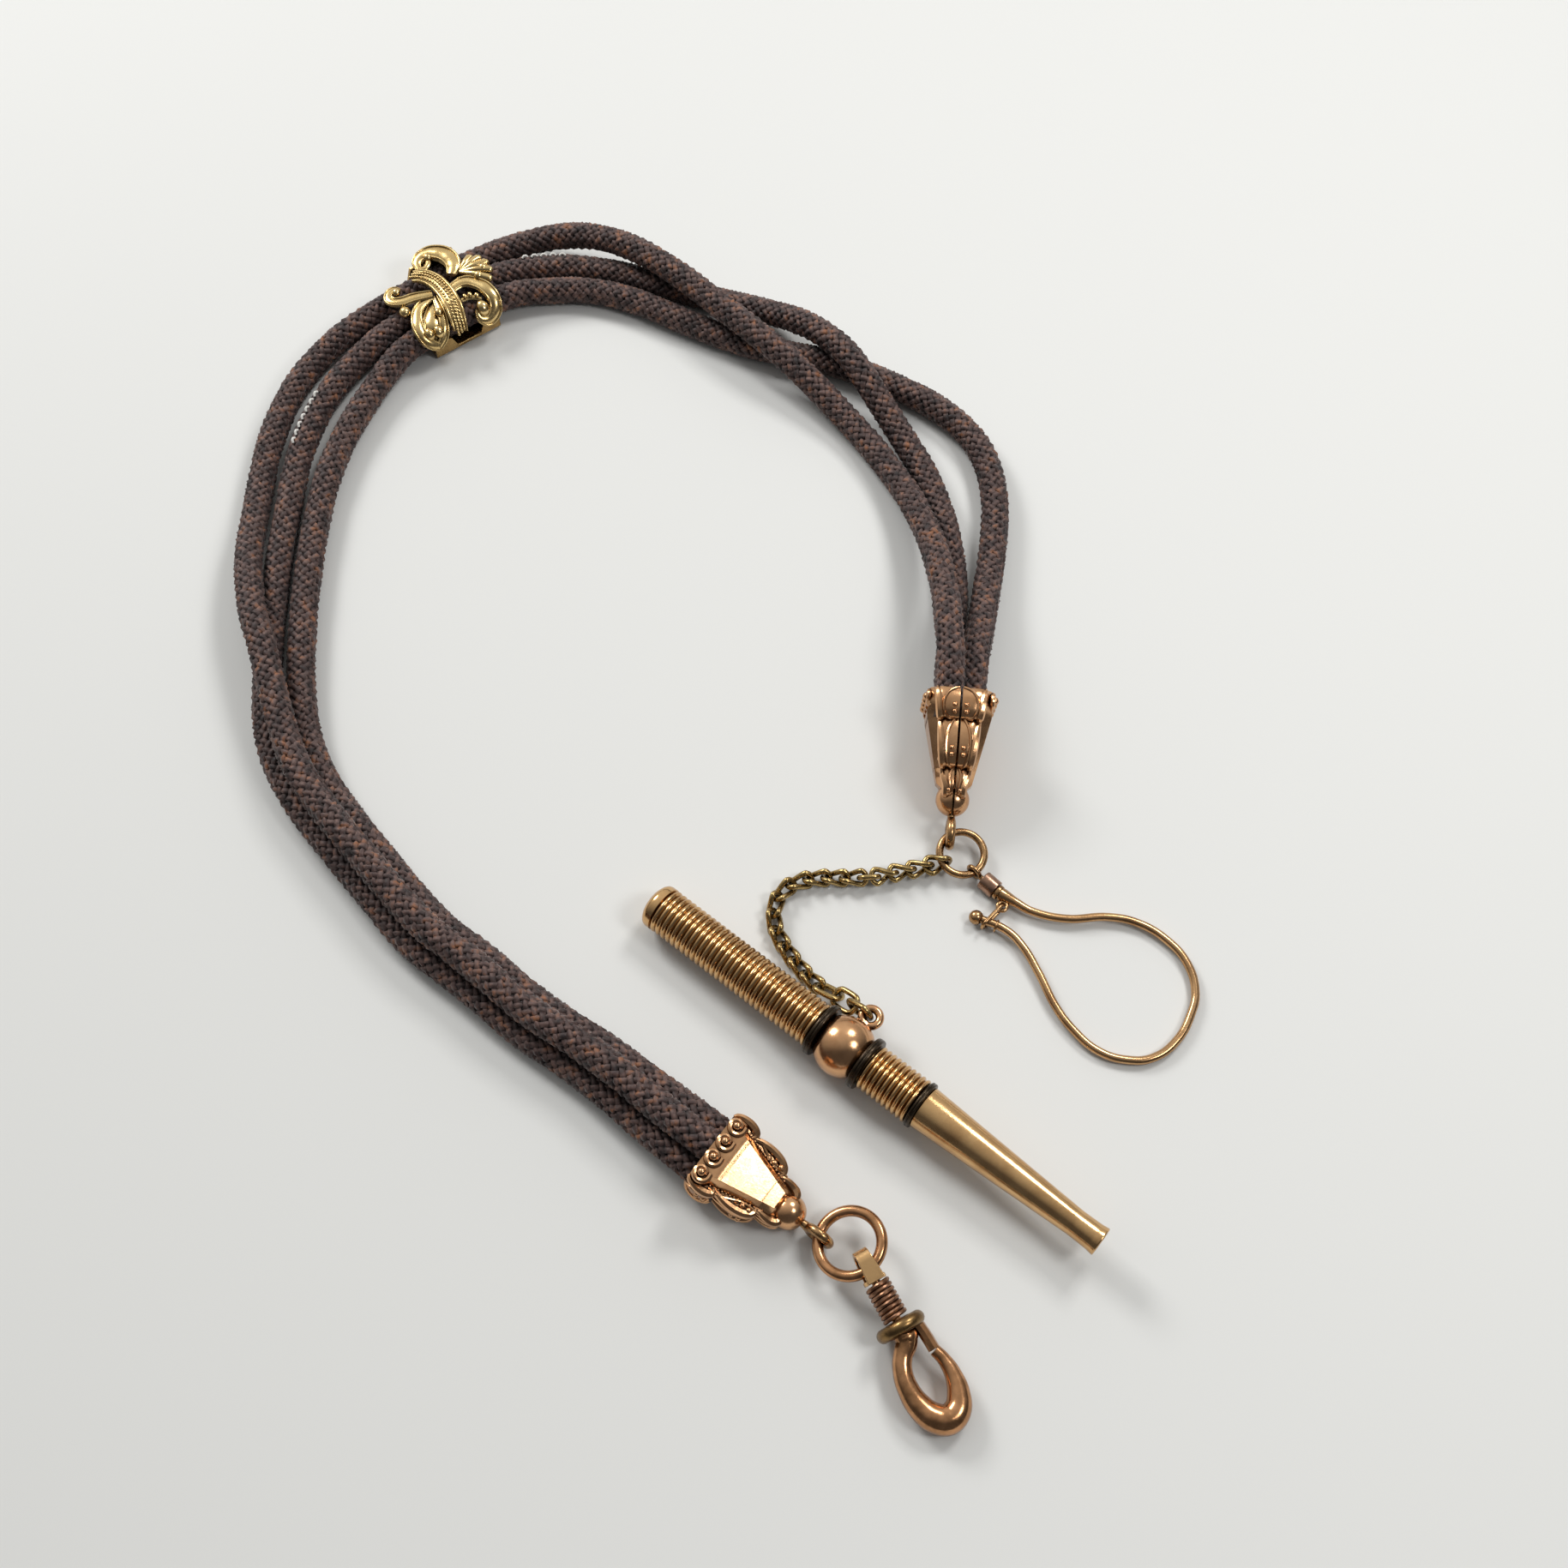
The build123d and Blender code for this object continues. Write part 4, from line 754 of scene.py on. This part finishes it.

# Spring: close coils of bronze wire round the stem, built at one length; on the clasp it shortens as the collar is
# drawn back
coil_start, coil_length, coil_turns, coil_wire, coil_outer = 1.65, 4.7, 7.5, 0.54, 3.2
helix = []
for at in range(int(coil_turns * 12) + 1):
    turn = 2 * pi * at / 12
    along = coil_start + coil_wire / 2 + (coil_length - coil_wire) * at / (coil_turns * 12)
    around = (coil_outer - coil_wire) / 2
    helix.append((along, around * cos(turn), around * sin(turn)))
bronze = gilt("dull_spring_bronze", "#a27a60", "#74543f", "#1a110b", roughness=0.33, patch=0.8, wear=0.9)
coil = piece("clasp_coil_spring", wire(helix, coil_wire, smooth=2), clasp, bronze, "clasp_hook", "worn_gold",
             "swivel_spring")
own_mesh(coil)

# Collar: turned disc with a rounded edge, its hub on the spring, and the gate beside the hook
hub_start, disc_start, disc_end = 6.4, 6.8, 7.8
rolled = [(disc_start + 0.45 + 0.82 * sin(radians(t)), 2.25 + 0.8 * cos(radians(t))) for t in range(125, -126, -25)]
thimble = turned([(disc_end, 0.65), (disc_end, 1.6), *rolled, (hub_start, 1.45), (hub_start, 0.65)])
hook_middle, hook_wide, hook_long = 13.95, 2.65, 4.5
nose_turn = radians(-126)
nose = Vector((hook_middle + hook_long * cos(nose_turn), -hook_wide * sin(nose_turn), 0))
gate = wire([(disc_end - 0.5, 1.75, 0), (disc_end + 0.9, 2.0, 0), nose + Vector((-0.12, 0.0, 0))], 1.5,
            (1, 0.95, 0.95), smooth=6)
dark_bronze = gilt("tarnished_gold", "#8d7048", "#5e4830", "#1c140c", roughness=0.3, patch=1.0, wear=0.8)
piece("clasp_disc_collar", thimble, clasp, dark_bronze, "clasp_collar", "worn_gold", "swivel_collar")
piece("clasp_collar_gate", gate, clasp, rose_wire, "clasp_collar", "worn_gold")

# Hook: forged wire, slim at the neck, swelling round the bow and thin again at the nose
hook_shares = (
    (148, 0.95), (124, 0.95), (96, 1.05), (66, 1.25), (36, 1.40), (6, 1.45),
    (-24, 1.36), (-54, 1.12), (-82, 0.85), (-108, 0.66), (-126, 0.60),
)
bow = [(8.2, 0, 0), (9.0, -0.25, 0)]
swell = [1.2, 1.1]
for angle, share in hook_shares:
    turn = radians(angle)
    bow.append((hook_middle + hook_long * cos(turn), -hook_wide * sin(turn), 0))
    swell.append(share)
stem = turned(softened(((0.7, 0), (0.7, 0.9), (1.05, 0.9), (1.05, 0.55), (7.85, 0.55), (7.85, 1.2), (8.5, 1.45),
                        (9.3, 1.2), (9.5, 0)), 0.25))
piece("clasp_swivel_hook", joined((wire(bow, 2.4, swell, smooth=5, sides=4), Matrix()), (stem, Matrix())), clasp,
      rose_wire, "clasp_hook", "worn_gold", "swivel_hook")


# Chain. A small ring in the right cap's eye carries a fine curb chain: sixteen twisted links round
# one plain joining link, and three plain ovals up to the watch key. Each is one loop of wire.

right_level = aim(bench(caps["right"][0]), -95.0, -14.5)
small_ring = spot(aim(right_level @ Vector((4.4, 0, 0)) - Vector((0, 0, 0.4)), -59.0, -7.4), 2.9)
piece("chain_round_ring", ring(2.9, 1.0, steps=64), small_ring, worn_gold, "chain_ring", "worn_gold", "chain_ring")

curb, plain, oval = (1.575, 0.95, 0.72, 90), (1.2, 1.0, 0.72, 0), (1.75, 1.1, 0.75, 0)
slack = 0.08
chain = [
    ((1.575, 1.15, 0.72, 90), -165, -4, 135), (curb, -168, -2, 127.5), (curb, -168, 0, 120), (curb, -168, 0, 112.5),
    (plain, -176, 0, 67.5), (curb, 178, -9, 0), (curb, 179, 0, 0), (curb, -175, 0, 0), (curb, -161, 0, 0),
    (curb, -134, 0, 0), (curb, -105, 0, 0), (curb, -82, 0, 0), (curb, -64, 0, 0), (curb, -57, 0, 0),
    (curb, -51, 0, 0), (curb, -45, 3, 0), (oval, -32, 11, -45), (oval, -41, 23, 22.5), (oval, -42, 35, 90),
]


brass = gilt("antique_brass_gold", "#b79c68", "#77603c", "#1c140a", roughness=0.24, patch=0.8, wear=0.8, hollow_shade_strength=0.9)
wire_gain = 0.0


def link(half_length, half_width, thickness, twist):
    """One chain link: a closed loop of wire whose two ends are turned apart by the twist."""
    shoulder = half_length - half_width * 0.63
    end = ((shoulder, half_width), (shoulder + half_width * 0.22, half_width * 0.93), (half_length, half_width * 0.42),
           (half_length, -half_width * 0.42), (shoulder + half_width * 0.22, -half_width * 0.93),
           (shoulder, -half_width))
    loop = []
    for turn in (0, 180):
        bent = Matrix.Rotation(radians(turn), 4, "Z") @ Matrix.Rotation(radians(twist / 2), 4, "X")
        loop += [bent @ Vector((x, y, 0)) for x, y in end]
    return wire(loop, thickness + wire_gain, closed=True, smooth=4, sides=3)


hang = small_ring @ Vector((2.9 * cos(radians(-95)), 2.9 * sin(radians(-95)), 0))
joint = aim(hang, -165, -4) @ Vector((-(1.0 + slack) / 2, 0, 0))
for count, ((half_length, half_width, thickness, twist), heading, tip, roll) in enumerate(chain, start=1):
    to_joint = half_length - (thickness + slack) / 2
    home = aim(aim(joint, heading, tip) @ Vector((to_joint, 0, 0)), heading, tip, roll)
    joint = home @ Vector((to_joint, 0, 0))
    piece(f"link_{count:02d}", link(half_length, half_width, thickness, twist), home, brass,
          f"chain_link_{count:02d}", "worn_gold", f"chain_link_{count:02d}")


# Watch key bar. A ribbed barrel and sleeve spun from yellow rolled gold either side of a polished
# rose gold bead, dark collars between them, and a smooth tapered pipe with a square socket.

bead_turn_radius, bead_eye_wire = 1.12, 1.05
catch = home @ Vector((1.75 - (0.75 + bead_eye_wire) / 2 - slack, 0, 0))
bead_eye = aim(catch, -42) @ Vector((bead_turn_radius, 0, 0))
bead_middle = aim(bead_eye, 48.0) @ Vector((-5.0, 0, 0))
key = aim(bead_middle, -39.0, 1.5)
blackened = gilt("blackened_gold", "#4a3f32", "#2c2520", "#0e0b08", roughness=0.28, patch=1.0, wear=0.8)


def ribs(start, end, count, root, crest, steps=7):
    """Profile points of a row of round ribs."""
    pitch = (end - start) / count
    return [(start + pitch * (rib + step / steps), root + (crest - root) * sin(pi * step / steps) ** 0.7)
            for rib in range(count) for step in range(steps)] + [(end, root)]


dome = [(-30.9 + 1.3 * (1 - cos(t)), 3.0 * sin(t)) for t in (radians(15 * k) for k in range(7))]
barrel = [*dome, (-28.9, 3.0), *ribs(-28.8, -3.95, 31, 2.62, 3.0), (-3.9, 2.5), (-3.9, 1.05)]
piece("key_ribbed_barrel", turned(barrel, 72), key, yellow_gold, "key", "yellow_gold", "key_barrel", sharp=60)
sleeve = [(3.9, 1.05), (3.9, 2.6), *ribs(3.95, 11.2, 10, 2.6, 3.0), (11.3, 2.5), (11.3, 1.05)]
piece("key_ribbed_ferrule", turned(sleeve, 72), key, yellow_gold, "key", "yellow_gold", "key_ribbed_sleeve", sharp=60)
for name, start, end, radius, node in (
    ("key_collar_front", 2.95, 3.85, 3.55, "key_front_collar"),
    ("key_collar_rear", -3.85, -2.95, 3.55, "key_rear_collar"),
    ("key_rolled_rim", 11.3, 12.0, 3.15, "key_dark_band"),
):
    groove = (start + end) / 2
    profile = softened(((start, 1.05), (start, radius - 0.1), (groove - 0.1, radius), (groove, radius - 0.14),
                        (groove + 0.1, radius), (end, radius - 0.1), (end, 1.05)), 0.12)
    piece(name, turned(profile, 72), key, blackened, "key", "dark_gold", node)
edge_turn = degrees(asin(2.9 / 3.85))
globe = [(3.85 * sin(radians(t)), 3.85 * cos(radians(t))) for t in
         [edge_turn * k / 12 for k in range(-12, 13)]]
globe = [(-2.9, 1.1), (-2.9, globe[0][1] - 0.2), *globe, (2.9, globe[-1][1] - 0.2), (2.9, 1.1)]
eye_place = key.inverted() @ aim(bead_eye, 48.0)
lug = wire([key.inverted() @ (aim(bead_eye, 48.0) @ Vector((x, 0, 0))) for x in (-1.7, -1.2, -0.9)], 1.3)
piece("key_polished_bead", joined((turned(globe, 72), Matrix()), (ring(bead_turn_radius, bead_eye_wire), eye_place),
                                  (lug, Matrix())), key, rose_gold, "key_bead", "rose_gold", "key_bead")

# Pipe: drawn tube, tapered to a waist, flared a little and pierced square for the watch's arbor
pipe_profile = softened(((12.0, 1.05), (12.0, 2.75), (34.0, 1.66), (36.6, 1.72), (37.6, 1.86), (37.6, 1.45)), 0.2)
pipe = turned(pipe_profile, 64)
mouth = [edge for edge in pipe.edges if edge.is_boundary and all(v.co.x > 37 for v in edge.verts)]
for along in (37.3, 31.6):
    grown = bmesh.ops.extrude_edge_only(pipe, edges=mouth)["geom"]
    mouth = [part for part in grown if isinstance(part, bmesh.types.BMEdge)]
    for vertex in {vertex for edge in mouth for vertex in edge.verts}:
        turn = atan2(vertex.co.z, vertex.co.y)
        square = 0.95 / max(abs(cos(turn)), abs(sin(turn)))
        vertex.co = (along, square * cos(turn), square * sin(turn))
bmesh.ops.holes_fill(pipe, edges=mouth, sides=0)
piece("key_tapered_pipe", pipe, key, yellow_gold, "key", "yellow_gold", "key_pipe")
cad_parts["key_spindle"].data.materials.clear()
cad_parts["key_spindle"].data.materials.append(yellow_gold)


# Charm loop. A pear of springy rolled gold wire on a swivel: ferrule and collar at its head, a ball
# end that springs through a small catch link hung from the wire's own eye.

loop = aim(small_ring @ Vector((2.9 * cos(radians(1)), 2.9 * sin(radians(1)), 0)), -44.0, -1.0)
rose_brown = gilt("rubbed_rose_brown", "#a8846e", "#735a4b", "#1e1614", roughness=0.27, patch=1.0, wear=0.8)
loop_gold = gilt("springy_rolled_gold", "#cba274", "#9a7450", "#2a1c12", roughness=0.2, patch=5.0, wear=0.8)
swivel_pin = turned(softened(((0.8, 0), (0.8, 0.35), (1.9, 0.35), (1.9, 0.6), (2.25, 0.6), (2.25, 0)), 0.08))
piece("loop_eye_swivel", joined((ring(0.9, 0.6, 40, 10), spot(Matrix(), roll=90)), (swivel_pin, Matrix())), loop,
      worn_gold, "loop_eye", "worn_gold", "loop_swivel_eye")
ferrule = softened(((1.5, 0.45), (1.5, 1.25), (3.7, 1.25), (3.7, 0.75), (1.85, 0.75), (1.85, 0.45), (1.5, 0.45)), 0.12)
piece("loop_head_ferrule", turned(ferrule), loop, rose_brown, "loop", "worn_gold", "loop_ferrule")
piece("loop_head_collar", turned(softened(((3.75, 0.75), (3.75, 1.0), (4.35, 1.0), (4.35, 0.75), (3.75, 0.75)), 0.15)),
      loop, worn_gold, "loop", "worn_gold", "loop_collar")
bow_home = spot(loop, 4.4, turn=5.1)
loop_points = (
    (4.35, 0.59), (8.45, 2.54), (12.64, 6.23), (15.99, 7.88), (20.16, 8.26), (23.75, 7.31),
    (26.71, 4.74), (27.83, 2.05), (28.35, -1.81), (27.33, -5.59), (25.14, -7.77), (21.65, -9.18),
    (17.61, -8.91), (14.3, -7.87), (9.88, -5.5), (6.23, -3.9), (3.6, -3.5), (-0.5, -4.5),
)
path = [(0.0, 0.0, 0), (0.5, 0.06, 0), (2.2, 0.3, 0), *[(x, y, 0) for x, y in loop_points]]
swell = [1.7, 1.65, 1.15] + [1] * len(loop_points)
tenon = turned(((-1.4, 0), (-1.4, 0.65), (0.1, 0.65), (0.1, 0)))
eye = spot(Matrix(), 1.2, -1.2)
piece("loop_pear_wire", joined((wire(path, 1.1, swell, smooth=8, sides=4), Matrix()), (tenon, spot(Matrix(), turn=-5.1)),
                               (ring(0.6, 0.5, 32, 10), eye)), bow_home, loop_gold, "loop", "yellow_gold", "loop_bow")
wire_end = bow_home @ Vector((-0.5, -4.5, 0))
tail_dir = ((bow_home @ Vector((3.6, -3.5, 0))) - wire_end).normalized()
tail_up = bow_home.to_3x3() @ Vector((0, 0, 1))
tail = Matrix.Translation(wire_end) @ Matrix((tail_dir, tail_up.cross(tail_dir), tail_up)).transposed().to_4x4()
piece("loop_thin_washer", turned(softened(((2.6, 0.5), (2.6, 0.85), (2.9, 0.85), (2.9, 0.5), (2.6, 0.5)), 0.13)), tail,
      worn_gold, "loop", "worn_gold", "loop_washer")
piece("loop_ball_end", ball(0.95, rounds=14), tail, worn_gold, "loop", "worn_gold", "loop_ball")
catch_top = bow_home @ Vector((1.2, -1.25, 0))
catch_foot = tail @ Vector((1.49, 0, 0))
catch_dir = (catch_foot - catch_top).normalized()
catch_long = 1.9026
catch_across = (catch_dir.cross(tail_up)).cross(catch_dir)
catch_home = Matrix.Translation(catch_top + catch_dir * catch_long) @ Matrix(
    (catch_dir, catch_across, catch_dir.cross(catch_across))).transposed().to_4x4()
piece("loop_catch_ring", link(catch_long, 0.85, 0.5, 0), catch_home, worn_gold, "loop_catch", "worn_gold",
      "loop_catch_link")
